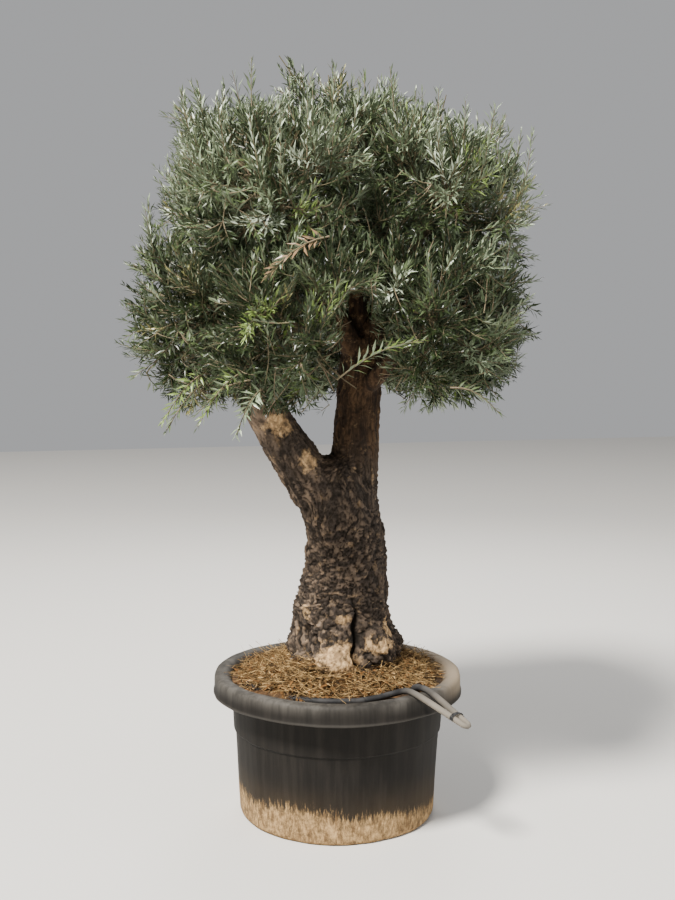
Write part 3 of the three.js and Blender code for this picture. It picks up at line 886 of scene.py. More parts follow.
def nodes_tree(name, sizes):
    """An empty Geometry Nodes tree, its inputs, which are a geometry and the named sizes, and its result."""
    tree = bpy.data.node_groups.new(name, "GeometryNodeTree")
    tree.interface.new_socket(name="Geometry", in_out="INPUT", socket_type="NodeSocketGeometry")
    for key, value in sizes.items():
        kind = "NodeSocketInt" if isinstance(value, int) else "NodeSocketFloat"
        tree.interface.new_socket(name=key, in_out="INPUT", socket_type=kind).default_value = value
    tree.interface.new_socket(name="Geometry", in_out="OUTPUT", socket_type="NodeSocketGeometry")
    given = tree.nodes.new("NodeGroupInput").outputs
    return Tree(tree), given, tree.nodes.new("NodeGroupOutput").inputs[0]


def made_by_nodes(carrier, tree, values, name):
    """Runs a tree on the carrier and returns the result as a plain mesh object; the carrier goes."""
    modifier = carrier.modifiers.new("growth", "NODES")
    modifier.node_group = tree.tree
    for item in tree.tree.interface.items_tree:
        if item.in_out == "INPUT" and item.name in values:
            modifier[item.identifier] = values[item.name]
    return add_object(name, evaluated(carrier))


def tubes_tree(material):
    """Tubes along edges, as thick at each point as its `thickness`."""
    tree, given, result = nodes_tree("tubes", {"Sides": 4})
    curve = tree.made("GeometryNodeMeshToCurve", {"Mesh": given["Geometry"]})
    ring = tree.made("GeometryNodeCurvePrimitiveCircle", {"Resolution": given["Sides"], "Radius": 1.0})
    inputs = {"Curve": curve, "Profile Curve": ring, "Scale": tree.named("thickness"), "Fill Caps": True}
    tube = tree.made("GeometryNodeCurveToMesh", inputs)
    smooth = tree.made("GeometryNodeSetShadeSmooth", {"Geometry": tube})
    tree.link(tree.dress(smooth, material), result)
    return tree


def tubes(name, points, edges, radii, material, sides):
    carrier = add_object(name + "_lines", mesh_of(name + "_lines", points, edges=edges))
    put_attribute(carrier.data, "thickness", radii)
    return made_by_nodes(carrier, tubes_tree(material), {"Sides": sides}, name)


def tube_along(name, points, radii, material, sides):
    return tubes(name, points, [(i, i + 1) for i in range(len(points) - 1)], radii, material, sides)


# Pot

def collar_roll(radius, turns):
    """Points round the collar's top, in mm, with its outer edge squarer than a circle."""
    ring = []
    for turn in turns:
        out, up = math.cos(math.radians(turn)), math.sin(math.radians(turn))
        square = 1 if out < 0 else POT["squareness"]
        size = radius / (abs(out) ** (2 * square) + abs(up) ** (2 * square)) ** (0.5 / square)
        ring.append((COLLAR_MIDDLE + size * out, COLLAR_HEIGHT + size * up))
    return ring


def pot_profile():
    """(radius, height) pairs from the middle of the underside up the outside and down the inside, in mm."""
    base, foot, wall = POT["base_radius"], POT["foot_radius"], POT["wall"]
    lip, rim, body = POT["lip"], POT["rim_radius"], POT["body_top_radius"]
    step, rise, depth = POT["step_height"], POT["step_rise"], POT["step_depth"]
    edge = POT["height"] - POT["skirt_height"]
    step_radius = mix(base, body - depth, step / edge)
    inner = base - wall
    turns = (0.4, 0.8, 1.2, math.pi / 2)
    rows = [(0, 0), (150, 0), (base - foot, 0)]
    rows += [(base - foot * (1 - math.sin(t)), foot * (1 - math.cos(t))) for t in turns]
    rows += [(mix(base, step_radius, s), mix(foot, step, s)) for s in np.linspace(0.08, 1, 12)]
    rows += [(step_radius + depth * s, step + rise * smooth_step(0, 1, s)) for s in (0.3, 0.6, 0.85, 1)]
    rows += [(mix(step_radius + depth, body, s), mix(step + rise, edge, s)) for s in (0.15, 0.4, 0.7, 1)]
    rows += collar_roll(POT["collar_radius"] - wall, (168, 130, 90, 50, 12))
    rows += [(rim - wall, edge + 12), (rim - wall + 1, edge + 4), (rim - lip - 1, edge)]
    rows += [(rim, edge - 1), (rim + lip, edge + 2), (rim + lip - 0.5, edge + 6), (rim + 0.5, edge + 10)]
    rows += collar_roll(POT["collar_radius"], np.linspace(0, 180, 17))
    top_inside = COLLAR_MIDDLE - POT["collar_radius"]
    rows += [(mix(top_inside, inner, s), mix(COLLAR_HEIGHT, 12, s)) for s in (0.2, 0.5, 0.9, 1)]
    return rows + [(inner - 6, wall), (0, wall)]


def make_pot(settings):
    profile = pot_profile()

    def place(i, angle):
        """A point of the wall, out of round by wide waves and narrower creases, with a rim that dips."""
        radius, z = profile[i]
        out = Vector((math.cos(angle), math.sin(angle), 0))
        share = smooth_step(90, 260, radius)
        wave = noise.noise(out * 1.6 + Vector((0, 0, z * 0.004)))
        crease = noise.noise(out * 7.0 + Vector((3.1, 0, z * 0.0022)))
        point = out * (radius * MM + settings.dent_depth * share * (wave + 0.45 * crease))
        dip = noise.noise(out * 1.3 + Vector((7.7, 0, 0)))
        return (point.x, point.y, z * MM + settings.rim_wave * share * smooth_step(300, 430, z) * dip)

    mesh = lathe("pot_shell", len(profile), settings.sides, place)
    smooth_shaded(mesh, 45)
    mesh.materials.append(pot_finish(settings))
    return finish_piece(add_object("pot_shell", mesh), "pot", "pot")


def pot_finish(settings):
    """Sun-faded black plastic with fine upright scuffs, a ragged splash of dry mud at its foot, painted
    sunlight on the collar's right side, and a painted shadow in the groove under the step.
    """
    finish = Finish("weathered_black_plastic", specular=0.17)
    across, height = finish.part("X"), finish.part("Z")
    top = POT["height"] * MM
    lip = top - POT["skirt_height"] * MM
    step = (POT["step_height"] + 1.5) * MM

    streaks = finish.noise(40.0, finish.stretched((1.0, 1.0, 0.07)), detail=5.0, roughness=0.65)
    clouds = finish.noise(5.5, detail=3.0)
    faded = finish.mixed(finish.range(streaks, 0.30, 0.78), settings.colour, settings.faded_colour)
    topmost = finish.range(height, top - 0.045, top)
    for pattern, least in ((clouds, 0.35), (streaks, 0.45)):
        topmost = finish.times(topmost, finish.range(pattern, 0.35, 0.65, least, 1.0))
    rim = finish.mixed(topmost, faded, settings.rim_colour)
    # Painted sunlight: the collar's right side, where the sun falls, is lightened to a pale tan, partly real
    # sun-bleaching as well.
    sunny = finish.times(finish.range(across, 0.2, 0.36), finish.range(height, lip, lip + 0.05))
    rim = finish.mixed(finish.times(sunny, 0.85), rim, settings.bleach_and_sunlight_colour)
    edge = finish.band(height, lip - 0.0065, lip - 0.0035, lip + 0.003, lip + 0.0095)
    worn = finish.mixed(finish.times(edge, 0.3), rim, settings.rim_colour)
    # Painted shadow: a near-black line along the groove under the step.
    groove_shadow = finish.band(height, step - 0.003, step, step, step + 0.003)
    lined = finish.mixed(finish.times(groove_shadow, 0.8), worn, (0.003, 0.003, 0.003))

    blades = finish.noise(170.0, finish.stretched((1.0, 1.0, 0.12)), detail=5.0, roughness=0.75)
    banks = finish.noise(2.1, finish.stretched((1.0, 1.0, 0.0)), detail=2.0)
    level = finish.range(across, -0.22, 0.24, settings.mud_height * 1.15, settings.mud_height * 0.62)
    bank = finish.times(level, finish.range(banks, 0.3, 0.7, 0.8, 1.15))
    mud_top = finish.plus(finish.range(blades, 0.3, 0.74, -0.02, 0.03), bank)
    splash = finish.range(finish.math("SUBTRACT", mud_top, height), -0.012, 0.02)
    grain = finish.noise(60.0, detail=5.0, roughness=0.7)
    thin = finish.times(splash, finish.range(grain, 0.28, 0.6, 0.35, 1.0))
    speckle = finish.noise(60.0, finish.stretched((1.0, 1.0, 0.35)), detail=7.0, roughness=0.85)
    mud = finish.mixed(finish.range(speckle, 0.38, 0.62), settings.mud_colour, settings.mud_shade)
    haze = finish.times(finish.range(height, 0.02, 0.2, 0.08, 0.0), finish.range(clouds, 0.3, 0.7, 0.4, 1.0))
    colour = finish.mixed(thin, finish.mixed(haze, lined, settings.mud_colour), mud)

    scuffs = finish.noise(30.0, finish.stretched((1.0, 1.0, 0.12)), detail=5.0, roughness=0.65)
    relief = finish.plus(finish.times(scuffs, 0.6), finish.times(thin, finish.plus(grain, 0.4)))
    rough = finish.range(thin, 0.0, 1.0, 0.68, 0.95)
    return finish.finish(colour, relief, strength=0.45, distance=0.0025, roughness=rough)


# Soil and litter

# Where soil and litter are heaped, in metres: the middle, and the radii between which a heap falls off.
MOUND = ((0.03, 0.0), 0.165, 0.265)
HEAP = ((-0.185, -0.125), 0.03, 0.13)
PIPE_SHOWS = (232, 302)  # degrees round the pot between which no litter lies on the pipe
PIPE_ROOM = (0.272, 0.316)  # and how far out
LITTER_RINGS = 26
LITTER_SIDES = 72


def heaped(x, y, heap):
    """1 on top of a heap, and 0 beyond its foot."""
    middle, flat, reach = heap
    return 1 - smooth_step(flat, reach, math.hypot(x - middle[0], y - middle[1]))


def soil_top(x, y, settings):
    """Height of the soil, in metres, with mounds, and with bumps that fade out under the pipe."""
    radius = math.hypot(x, y)
    share = smooth_step(SOIL["flat_radius"] * MM, SOIL["ledge_radius"] * MM, radius)
    level = mix(SOIL["level"], SOIL["level"] - SOIL["fall"], share) * MM
    bumps = settings.bumps * (1 - 0.75 * smooth_step(0.25, 0.28, radius))
    rough = noise.fractal(Vector((x * 16, y * 16, 3.3)), 0.8, 2.0, 4)
    return level + settings.mound * heaped(x, y, MOUND) + settings.heap * heaped(x, y, HEAP) + bumps * rough


def make_soil(settings):
    rows = 46
    inner = POT["base_radius"] - POT["wall"]
    slope = (COLLAR_MIDDLE - POT["collar_radius"] - inner) / (COLLAR_HEIGHT - POT["wall"])
    wall = inner + slope * (SOIL["level"] - SOIL["fall"] - POT["wall"])

    def place(i, angle):
        if i < 2:
            radius = (inner - 3) * i * MM
            return (radius * math.cos(angle), radius * math.sin(angle), (POT["wall"] + 0.5) * MM)
        radius = (wall - 2.0) * MM * (1 - (i - 2) / rows)
        x, y = radius * math.cos(angle), radius * math.sin(angle)
        return (x, y, soil_top(x, y, settings))

    mesh = lathe("soil_bed", rows + 3, 150, place)
    smooth_shaded(mesh)
    finish = Finish("dry_soil", roughness=1.0, specular=0.2)
    grain = finish.noise(70.0, detail=8.0, roughness=0.75)
    clods = finish.noise(16.0, detail=4.0)
    # Painted shade: the soil is darker where its grain pattern is low, which is where its bump sinks into
    # hollows.
    dry = finish.mixed(finish.range(grain, 0.35, 0.68), settings.soil_shade, settings.soil_colour)
    colour = finish.mixed(finish.range(clods, 0.4, 0.65, 0.0, 0.6), dry, settings.rust_colour)
    mesh.materials.append(finish.finish(colour, grain, strength=0.8, distance=0.006))
    return finish_piece(add_object("soil_bed", mesh), "soil", "soil")


def straw_blade(bow, sides=3, rows=4):
    """A dry stalk one unit long and about one unit thick, bowed."""
    points, faces = [], []
    for i in range(rows + 1):
        share = i / rows
        thick = 0.5 * (1 - 0.7 * share)
        bend = bow * math.sin(math.pi * share)
        for k in range(sides):
            turn = 2 * math.pi * k / sides
            points.append((share - 0.5, bend + thick * math.cos(turn), 0.6 * bend + thick * math.sin(turn)))
    for i in range(rows):
        faces += ring_faces(i * sides, sides)
    faces.append(tuple(reversed(range(sides))))
    faces.append(tuple(rows * sides + k for k in range(sides)))
    return points, faces


def template(name, points, faces):
    """A small shape that the node trees repeat; it isn't shown itself."""
    mesh = mesh_of(name, points, faces)
    fix = bmesh.new()
    fix.from_mesh(mesh)
    bmesh.ops.recalc_face_normals(fix, faces=fix.faces)
    fix.to_mesh(mesh)
    fix.free()
    return bpy.data.objects.new(name, mesh)


def litter_tree(layers):
    """Scatters each layer's shape over the bed in clumps, turned any way, tilted, and lifted a little."""
    tree, given, result = nodes_tree("litter", {"Seed": 5, "Lift": 0.012})
    joined = tree.add("GeometryNodeJoinGeometry")
    for n, (shape, density, low, high, tilt, material) in enumerate(layers):
        seed = tree.plus(given["Seed"], float(10 * n))
        place = tree.made("GeometryNodeInputPosition")
        clumps = tree.made("ShaderNodeTexNoise", {"Vector": place, "Scale": 17.0 + 3 * n, "Detail": 2.0})
        spread = {0: clumps, 1: 0.42, 2: 0.6, 3: 0.03 * density, 4: 1.9 * density}
        inputs = {"Mesh": given["Geometry"], "Density": tree.made("ShaderNodeMapRange", spread), "Seed": seed}
        spots = tree.made("GeometryNodeDistributePointsOnFaces", inputs)

        def random(low, high, turn, seed=seed):
            inputs = {0: low, 1: high, "Seed": tree.plus(seed, float(turn))}
            return tree.made("FunctionNodeRandomValue", inputs, data_type="FLOAT_VECTOR")

        lift = {0: random((0, 0, 0), (0, 0, 1), 1), "Scale": given["Lift"]}
        offset = tree.made("ShaderNodeVectorMath", lift, operation="SCALE")
        moved = tree.made("GeometryNodeSetPosition", {"Geometry": spots, "Offset": offset})
        turns = random((-tilt, -tilt, 0), (tilt, tilt, 2 * math.pi), 2)
        stalks = tree.repeated(shape, moved, turns, random(low, high, 3))
        tree.link(tree.dress(stalks, material), joined.inputs[0])
    tree.link(joined.outputs[0], result)
    return tree


def litter_finish(name, colour, shade):
    finish = Finish(name, roughness=0.9, specular=0.1)
    blotches = finish.noise(45.0, detail=3.0)
    return finish.finish(finish.mixed(finish.range(blotches, 0.3, 0.7), colour, shade))


def litter_bed(settings):
    """The face that the litter is strewn on: just over the soil, from the collar to the trunk."""
    points, faces = [], []
    for i in range(LITTER_RINGS):
        radius = mix(0.305, 0.11, i / (LITTER_RINGS - 1))
        for k in range(LITTER_SIDES):
            turn = k * 2 * math.pi / LITTER_SIDES
            x, y = radius * math.cos(turn), radius * math.sin(turn)
            points.append((x, y, soil_top(x, y, settings) + 0.002))
        on_pipe = PIPE_ROOM[0] < radius < PIPE_ROOM[1]
        for k, face in enumerate(ring_faces(i * LITTER_SIDES, LITTER_SIDES)):
            shown = on_pipe and PIPE_SHOWS[0] < k * 360 / LITTER_SIDES < PIPE_SHOWS[1]
            if i < LITTER_RINGS - 1 and not shown:
                faces.append(face)
    return add_object("litter_bed", mesh_of("litter_bed", points, faces))


def make_litter(settings):
    """Dry straw, curled leaves and chips over the soil."""
    straw = litter_finish("pale_straw", settings.straw_colour, settings.straw_shade)
    rust = litter_finish("rusty_leaf", settings.rust_colour, settings.straw_shade)
    grey = litter_finish("grey_chaff", settings.chaff_colour, settings.soil_shade)
    stalk = template("stalk", *straw_blade(7.0))
    chaff = template("chaff", *straw_blade(2.0, rows=2))
    dry_leaf = template("dry_leaf", *leaf_shape(curl=0.2))
    thin, thick = (0.0011, 0.0011), (0.0022, 0.0022)
    # Each layer: its shape, its share of the density, its least and greatest size, its tilt, and its finish.
    layers = [
        (stalk, 1.0, (0.05, *thin), (0.13, *thick), 0.32, straw),
        (stalk, 0.9, (0.06, *thin), (0.15, *thick), 0.85, straw),
        (stalk, 0.45, (0.05, *thin), (0.13, *thick), 0.9, grey),
        (chaff, 1.6, (0.015, *thin), (0.05, *thick), 0.5, rust),
        (chaff, 1.3, (0.012, *thin), (0.04, 0.003, 0.003), 0.5, grey),
        (dry_leaf, 1.1, (0.028, 0.006, 0.03), (0.052, 0.013, 0.05), 0.5, rust),
        (dry_leaf, 0.5, (0.026, 0.006, 0.03), (0.05, 0.012, 0.05), 0.5, straw),
    ]
    layers = [(shape, settings.straw_density * share, *rest) for shape, share, *rest in layers]
    values = {"Seed": 5, "Lift": settings.litter_depth}
    litter = made_by_nodes(litter_bed(settings), litter_tree(layers), values, "soil_litter")
    finish_piece(litter, "soil")


# Pipe

def pipe_path():
    """The pipe's middle line, in mm: round the trunk, over the collar, to the fold and back."""
    radius = PIPE["radius"]
    on_soil = SOIL["level"] - SOIL["fall"] + radius + 0.3
    on_collar = POT["height"] + radius + 0.6
    across = polar(PIPE["arm_spread"] / 2, PIPE["arm_turn"] + 90, 0)

    def arm(reach, side, z):
        return polar(reach, PIPE["arm_turn"], z) + across * side

    arc = math.radians(PIPE["leave_turn"] - PIPE["start_turn"]) * PIPE["ring_radius"]
    turns = math.ceil(arc / PIPE["step"])
    ring = []
    for i in range(turns + 1):
        lifted = PIPE["lift"] * max(0, i - turns + 2)
        turn = mix(PIPE["start_turn"], PIPE["leave_turn"], i / turns)
        ring.append(polar(PIPE["ring_radius"], turn, on_soil + lifted))
    tip_height = POT["height"] + radius - PIPE["arm_droop"]
    inside, outside = COLLAR_MIDDLE - PIPE["inside_crest"], COLLAR_MIDDLE + PIPE["outside_crest"]
    reach = PIPE["arm_reach"]
    out = [arm(inside, -1, on_collar), arm(outside, -1, on_collar)]
    fold = [arm(reach - 60, -0.52, tip_height + 18), arm(reach - 26, -0.4, tip_height + 7)]
    fold += [arm(reach - 5, -0.34, tip_height + 1), arm(reach + 3, 0, tip_height - 1)]
    fold += [arm(reach - 5, 0.34, tip_height + 1), arm(reach - 26, 0.4, tip_height + 7)]
    fold += [arm(reach - 60, 0.52, tip_height + 18)]
    back = [arm(outside, 1, on_collar), arm(inside, 1, on_collar), arm(inside - 16, 1, on_collar - 5)]
    back += [polar(PIPE["ring_radius"] - 4, PIPE["arm_turn"] + turn, on_soil + 6) for turn in (13, 20)]
    return ring + out + fold + back


def make_pipe(settings):
    line = Line(pipe_path())
    points = np.array([line.at(share) for share in np.linspace(0, 1, 150)]) * MM
    tip = polar(PIPE["arm_reach"], PIPE["arm_turn"], 0)[:2] * MM
    near = np.exp(-((np.linalg.norm(points[:, :2] - tip, axis=1) / 0.03) ** 2))
    radii = settings.radius * (1 - 0.22 * near)
    finish = Finish("sun_bleached_pipe", roughness=0.72, specular=0.25)
    wear = finish.noise(22.0, detail=4.0)
    dust = finish.noise(8.0, detail=3.0)
    dark = finish.mixed(finish.range(wear, 0.35, 0.7), settings.colour, settings.faded_colour)
    outward = finish.range(finish.part("Y"), -0.30, -0.42)
    bleach = finish.times(outward, finish.range(dust, 0.3, 0.65, 0.55, 1.0))
    colour = finish.mixed(bleach, dark, settings.bleach_and_sunlight_colour)
    material = finish.finish(colour, wear, strength=0.25, distance=0.001)
    finish_piece(tube_along("pipe_run", points, radii, material, settings.sides), "pipe", "drip_pipe")


def make_tie(settings):
    """Wire wound round the two runs near the fold."""
    turns = np.linspace(0, 2 * math.pi * 3, 55)
    across = unit(polar(1, PIPE["arm_turn"] + 90, 0))
    reach = PIPE["arm_reach"] - 48 + 2.2 * turns / math.pi
    height = POT["height"] + PIPE["radius"] - PIPE["arm_droop"] + 14.5
    points = [
        polar(out, PIPE["arm_turn"], height + 10.6 * math.sin(turn)) + across * 22.5 * math.cos(turn)
        for out, turn in zip(reach, turns)
    ]
    material = plain_material("tie_wire", settings.colour, 0.6)
    wire = tube_along("pipe_tie", np.array(points) * MM, [0.0016] * len(points), material, 6)
    finish_piece(wire, "pipe")


# Bark

WOOD = ["trunk", *BOUGHS, *LIMBS]
FORK = np.array([-0.025, 0.0, 1.08])
# Bark is oldest below `old` and youngest above `young`, in metres, and young on limbs as thin as `thin`.
AGE = {"old": 0.62, "young": 1.28, "least": 0.42, "thin": 0.018, "thick": 0.06}
# Sizes of the bark's plates and of the crumbs on them, as the scales of their patterns.
PLATES = 46
CRUMBS = 84
BARK_SEED = 5


def wood_block(settings):
    """Trunk, boughs and limbs as one closed skin of small even faces."""
    joined = bmesh.new()
    for name in WOOD:
        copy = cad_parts[name].data.copy()
        solid = bmesh.new()
        solid.from_mesh(copy)
        bmesh.ops.remove_doubles(solid, verts=solid.verts, dist=1e-5)
        solid.normal_update()
        for vertex in solid.verts:
            vertex.co += vertex.normal * 0.0006
        solid.to_mesh(copy)
        solid.free()
        joined.from_mesh(copy)
        bpy.data.meshes.remove(copy)
    mesh = bpy.data.meshes.new("wood_block")
    joined.to_mesh(mesh)
    joined.free()
    block = add_object("wood_block", mesh)
    modifier = block.modifiers.new("skin", "REMESH")
    modifier.mode = "VOXEL"
    modifier.voxel_size = settings.grain
    return evaluated(block)


def relaxed(points, edges, rounds):
    """Points moved towards the middle of their neighbours, and back a little so that nothing shrinks."""
    counts = np.bincount(edges.ravel(), minlength=len(points))[:, None]
    for turn in range(rounds):
        total = np.zeros_like(points)
        for k in range(3):
            total[:, k] = np.bincount(edges[:, 0], points[edges[:, 1], k], len(points))
            total[:, k] += np.bincount(edges[:, 1], points[edges[:, 0], k], len(points))
        step = 0.55 if turn % 2 == 0 else -0.5
        points = points + step * (total / counts - points)
    return points


def skeleton():
    """Samples along trunk, boughs and limbs: place, way, and radius, in metres."""
    places, ways, radii = [], [], []
    for line, ends in [(Line(TRUNK_LINE), TRUNK_RADII), *LINES.values()]:
        for share in np.arange(LIMB_SAMPLES + 1) / LIMB_SAMPLES:
            ahead, behind = line.at(min(1, share + 0.02)), line.at(max(0, share - 0.02))
            places.append(line.at(share) * MM)
            ways.append(unit(ahead - behind))
            radii.append(limb_radius(ends, share) * MM)
    return np.array(places), np.array(ways), np.array(radii)


def grain_of(points):
    """At each point, the way that the wood runs and its thickness, weighed over the nearest pieces."""
    places, ways, radii = skeleton()
    along = np.zeros_like(points)
    thickness = np.zeros(len(points))
    batch = 12000
    for start in range(0, len(points), batch):
        part = slice(start, start + batch)
        gaps = ((points[part, None] - places) ** 2).sum(axis=2) / radii**2
        weights = 1 / (gaps + 0.05) ** 4
        weights /= weights.sum(axis=1, keepdims=True)
        along[part] = weights @ ways
        thickness[part] = weights @ radii
    return unit(along), thickness


def bark_relief(points, settings):
    """At each point: the relief, how much of a plate it is, how old it is, and its crumb's own tone."""
    along, thickness = grain_of(points)
    up = ((points - FORK) * along).sum(axis=1, keepdims=True)
    drawn = points - (1 - settings.plate_stretch) * along * up
    age = mix(AGE["least"], 1, smooth_step(AGE["young"], AGE["old"], points[:, 2]))
    age *= smooth_step(AGE["thin"], AGE["thick"], thickness)
    low = smooth_step(1.08, 0.55, points[:, 2])
    plate, lump, tone = (np.zeros(len(points)) for _ in range(3))
    noise.seed_set(BARK_SEED)
    for i, (point, stretched) in enumerate(zip(points, drawn)):
        place = Vector(stretched)
        bent = place + noise.noise_vector(place * 14) * 0.006 + noise.noise_vector(place * 45) * 0.004
        knobs = mix(1.0, 0.62, low[i]) * (1 + 0.3 * noise.noise(Vector(point) * 7))
        coarse, seats = noise.voronoi(Vector(mix(np.array(bent), point, low[i] * 0.5)) * PLATES * knobs)
        fine, crumbs = noise.voronoi(Vector(mix(np.array(bent), point, low[i] * 0.8)) * CRUMBS)
        crack = min((coarse[1] - coarse[0]) * 1.9, 1.0)
        chip = min((fine[1] - fine[0]) * 2.2, 1.0)
        plate[i] = 0.68 * crack**0.6 + 0.32 * chip
        tone[i] = 0.5 + 0.2 * noise.cell(seats[0]) + 0.3 * noise.cell(crumbs[0])
        lump[i] = noise.noise(Vector(point) * 15) + 0.6 * noise.noise(Vector(point) * 31)
    relief = settings.fissure_depth * age * (plate - 0.8)
    relief += settings.lump_height * (0.25 + 0.75 * age) * mix(0.55, 1.0, low) * lump
    return relief, plate, age, tone


def cleft_at(points):
    """1 in the cleft at the front of the trunk's foot, and 0 away from it."""
    x, y, z = points.T
    low, high, breadth = CLEFT
    share = np.clip((z - low[2]) / (high[2] - low[2]), 0, 1)
    wander = 0.006 * np.sin(z * 70) + 0.004 * np.sin(z * 31 + 1)
    aside = np.abs(x - mix(low[0], high[0], share) - wander)
    inside = smooth_step(breadth, 0.2 * breadth, aside) * smooth_step(0.72, 0.62, z)
    return inside * smooth_step(-0.04, -0.1, y)


def make_bark(settings):
    skin = wood_block(settings)
    edges = np.zeros(len(skin.edges) * 2, np.int32)
    skin.edges.foreach_get("vertices", edges)
    points = read_vectors(skin.vertices, "co").astype(float)
    points = relaxed(points, edges.reshape(-1, 2), settings.smoothing)
    set_points(skin, points)
    relief, plate, age, tone = bark_relief(points, settings)
    bare = np.zeros(len(points))
    for middle, reach in PALE_BURLS:
        away = np.linalg.norm((points - np.array(middle)) / reach, axis=1)
        bare = np.maximum(bare, smooth_step(1.6, 0.3, away))
    cleft = cleft_at(points)
    relief = relief * (1 - 0.4 * bare) - settings.cleft_depth * cleft
    moved = points + read_vectors(skin.vertex_normals, "vector") * relief[:, None]
    moved[:, 2] -= 0.012 * smooth_step(0.432, 0.419, points[:, 2])
    set_points(skin, moved)
    # The cleft gets no plate, so the finish paints it with the cracks' near-black colour, partly painted
    # shade.
    for name, values in (("plate", plate * (1 - cleft)), ("age", age), ("tone", tone), ("bare", bare)):
        put_attribute(skin, name, values)
    smooth_shaded(skin, 60)
    skin.materials.clear()
    skin.materials.append(bark_finish(settings))
    return finish_piece(add_object("bark_skin", skin), "bark", *WOOD)


def bark_finish(settings):
    """Grey-brown cracked bark below, stringy orange-brown bark above, and pale wood on the bare burls;
    painted sunlight strengthens the worn tan patches on the left side, and painted shade partly darkens the
    cracks.
    """
    finish = Finish("olive_bark", roughness=0.92, specular=0.2)
    plate, age, tone, bare = (finish.attribute(name) for name in ("plate", "age", "tone", "bare"))
    across = finish.part("X")
    strings = finish.noise(38.0, finish.stretched((1.0, 1.0, 0.13)), detail=7.0, roughness=0.7)
    blotches = finish.noise(9.0, detail=4.0)
    flecks = finish.noise(75.0, detail=6.0, roughness=0.75)
    chips = finish.noise(34.0, detail=6.0, roughness=0.7)

    grey = finish.mixed(finish.range(flecks, 0.35, 0.68), settings.old_shade, settings.old_colour)
    # Painted sunlight: the worn tan patches are made stronger on the left side, where the sun falls; the
    # patches themselves are worn bark.
    sunny = finish.range(across, 0.1, -0.12, 0.55, 1.0)
    worn = finish.times(finish.range(blotches, 0.3, 0.6, 0.45, 1.0), sunny)
    crumbs = finish.times(finish.range(tone, 0.3, 0.9), worn)
    tan = finish.mixed(crumbs, grey, settings.tan_colour)
    rough = finish.mixed(finish.range(blotches, 0.42, 0.62), grey, settings.tan_colour)
    orange = finish.mixed(finish.range(strings, 0.38, 0.62), settings.young_shade, settings.young_colour)
    upper = finish.mixed(finish.range(across, -0.13, -0.05), rough, orange)
    aged = finish.mixed(finish.range(finish.part("Z"), 1.02, 1.2), tan, upper)
    # Near-black in the cracks: partly the bark's own dark fissures, partly painted shade.
    ridged = finish.mixed(finish.range(plate, 0.1, 0.62), settings.crack_colour_and_shade, aged)
    cracked = finish.mixed(finish.range(age, 0.2, 0.9, 0.55, 1.0), aged, ridged)

    wood = finish.mixed(finish.range(flecks, 0.3, 0.7), settings.bare_shade, settings.bare_colour)
    # Bare wood darker in its cracks: painted shade.
    creased = finish.mixed(finish.range(plate, 0.05, 0.55), settings.bare_shade, wood)
    ragged = finish.plus(bare, finish.range(chips, 0.32, 0.68, -0.5, 0.35))
    ragged = finish.plus(ragged, finish.range(tone, 0.1, 0.9, -0.3, 0.15))
    colour = finish.mixed(finish.range(ragged, 0.1, 1.0, 0.0, 0.95), cracked, creased)
    relief = finish.plus(finish.times(flecks, 0.5), strings)
    return finish.finish(colour, relief, strength=0.7, distance=0.004)


# Leaves and twigs

def leaf_shape(curl=0.06):
    """A narrow pointed leaf one unit long and one wide, closed, folded a little along its middle."""
    outline = [(0, 0), (0.44, -0.5), (1, 0), (0.5, 0.5)]
    points = [(x, y, -0.02 - curl * (2 * x - 1) ** 2 + 0.03 * abs(y)) for x, y in outline]
    points += [(0.45, 0, -0.018), (0.45, 0, -0.042)]
    count = len(outline)
    faces = [(count, i, (i + 1) % count) for i in range(count)]
    faces += [(count + 1, (i + 1) % count, i) for i in range(count)]
    return points, faces


def leaf_template():
    """The leaf that is repeated, with its lower faces marked as its underside."""
    points, faces = leaf_shape()
    leaf = bpy.data.objects.new("leaf_blade", mesh_of("leaf_blade", points, faces))
    under = leaf.data.attributes.new("under", "FLOAT", "FACE")
    half = len(faces) // 2
    under.data.foreach_set("value", [0.0] * half + [1.0] * half)
    return leaf


def leaves_tree(leaf, uppers, under, shaded):
    """A leaf on each point, turned and sized by the point, and finished by its spray's tint."""
    tree, given, result = nodes_tree("leaves", {"Leaf Length": 0.05, "Leaf Width": 0.01})
    size = tree.named("size")
    long = tree.times(size, given["Leaf Length"])
    wide = tree.times(size, given["Leaf Width"])
    scale = tree.made("ShaderNodeCombineXYZ", {0: long, 1: wide, 2: long})
    leaves = tree.repeated(leaf, given["Geometry"], tree.named("turn", "FLOAT_VECTOR"), scale)
    tint = tree.named("tint")
    tinted = []
    for k in range(len(uppers)):
        tinted.append(tree.made("FunctionNodeCompare", {0: tint, 1: float(k), 12: 0.3}, operation="EQUAL"))
    beneath = tree.made("FunctionNodeCompare", {0: tree.named("under"), 1: 0.5}, operation="GREATER_THAN")
    # Deep green leaves get a darker underside as well: painted shade.
    shaded_beneath = tree.made("FunctionNodeBooleanMath", {0: beneath, 1: tinted[SHADED_GREEN]}, operation="AND")
    for material, selection in [*zip(uppers, tinted), (under, beneath), (shaded, shaded_beneath)]:
        leaves = tree.dress(leaves, material, selection)
    tree.link(leaves, result)
    return tree


def turns_of(directions, normals):
    """Euler turns that put a leaf's length along each direction and its upper side towards each normal."""
    wides = np.cross(normals, directions)
    pitch = np.arcsin(np.clip(-directions[:, 2], -1, 1))
    roll = np.arctan2(wides[:, 2], normals[:, 2])
    yaw = np.arctan2(directions[:, 1], directions[:, 0])
    return np.stack([roll, pitch, yaw], axis=1)


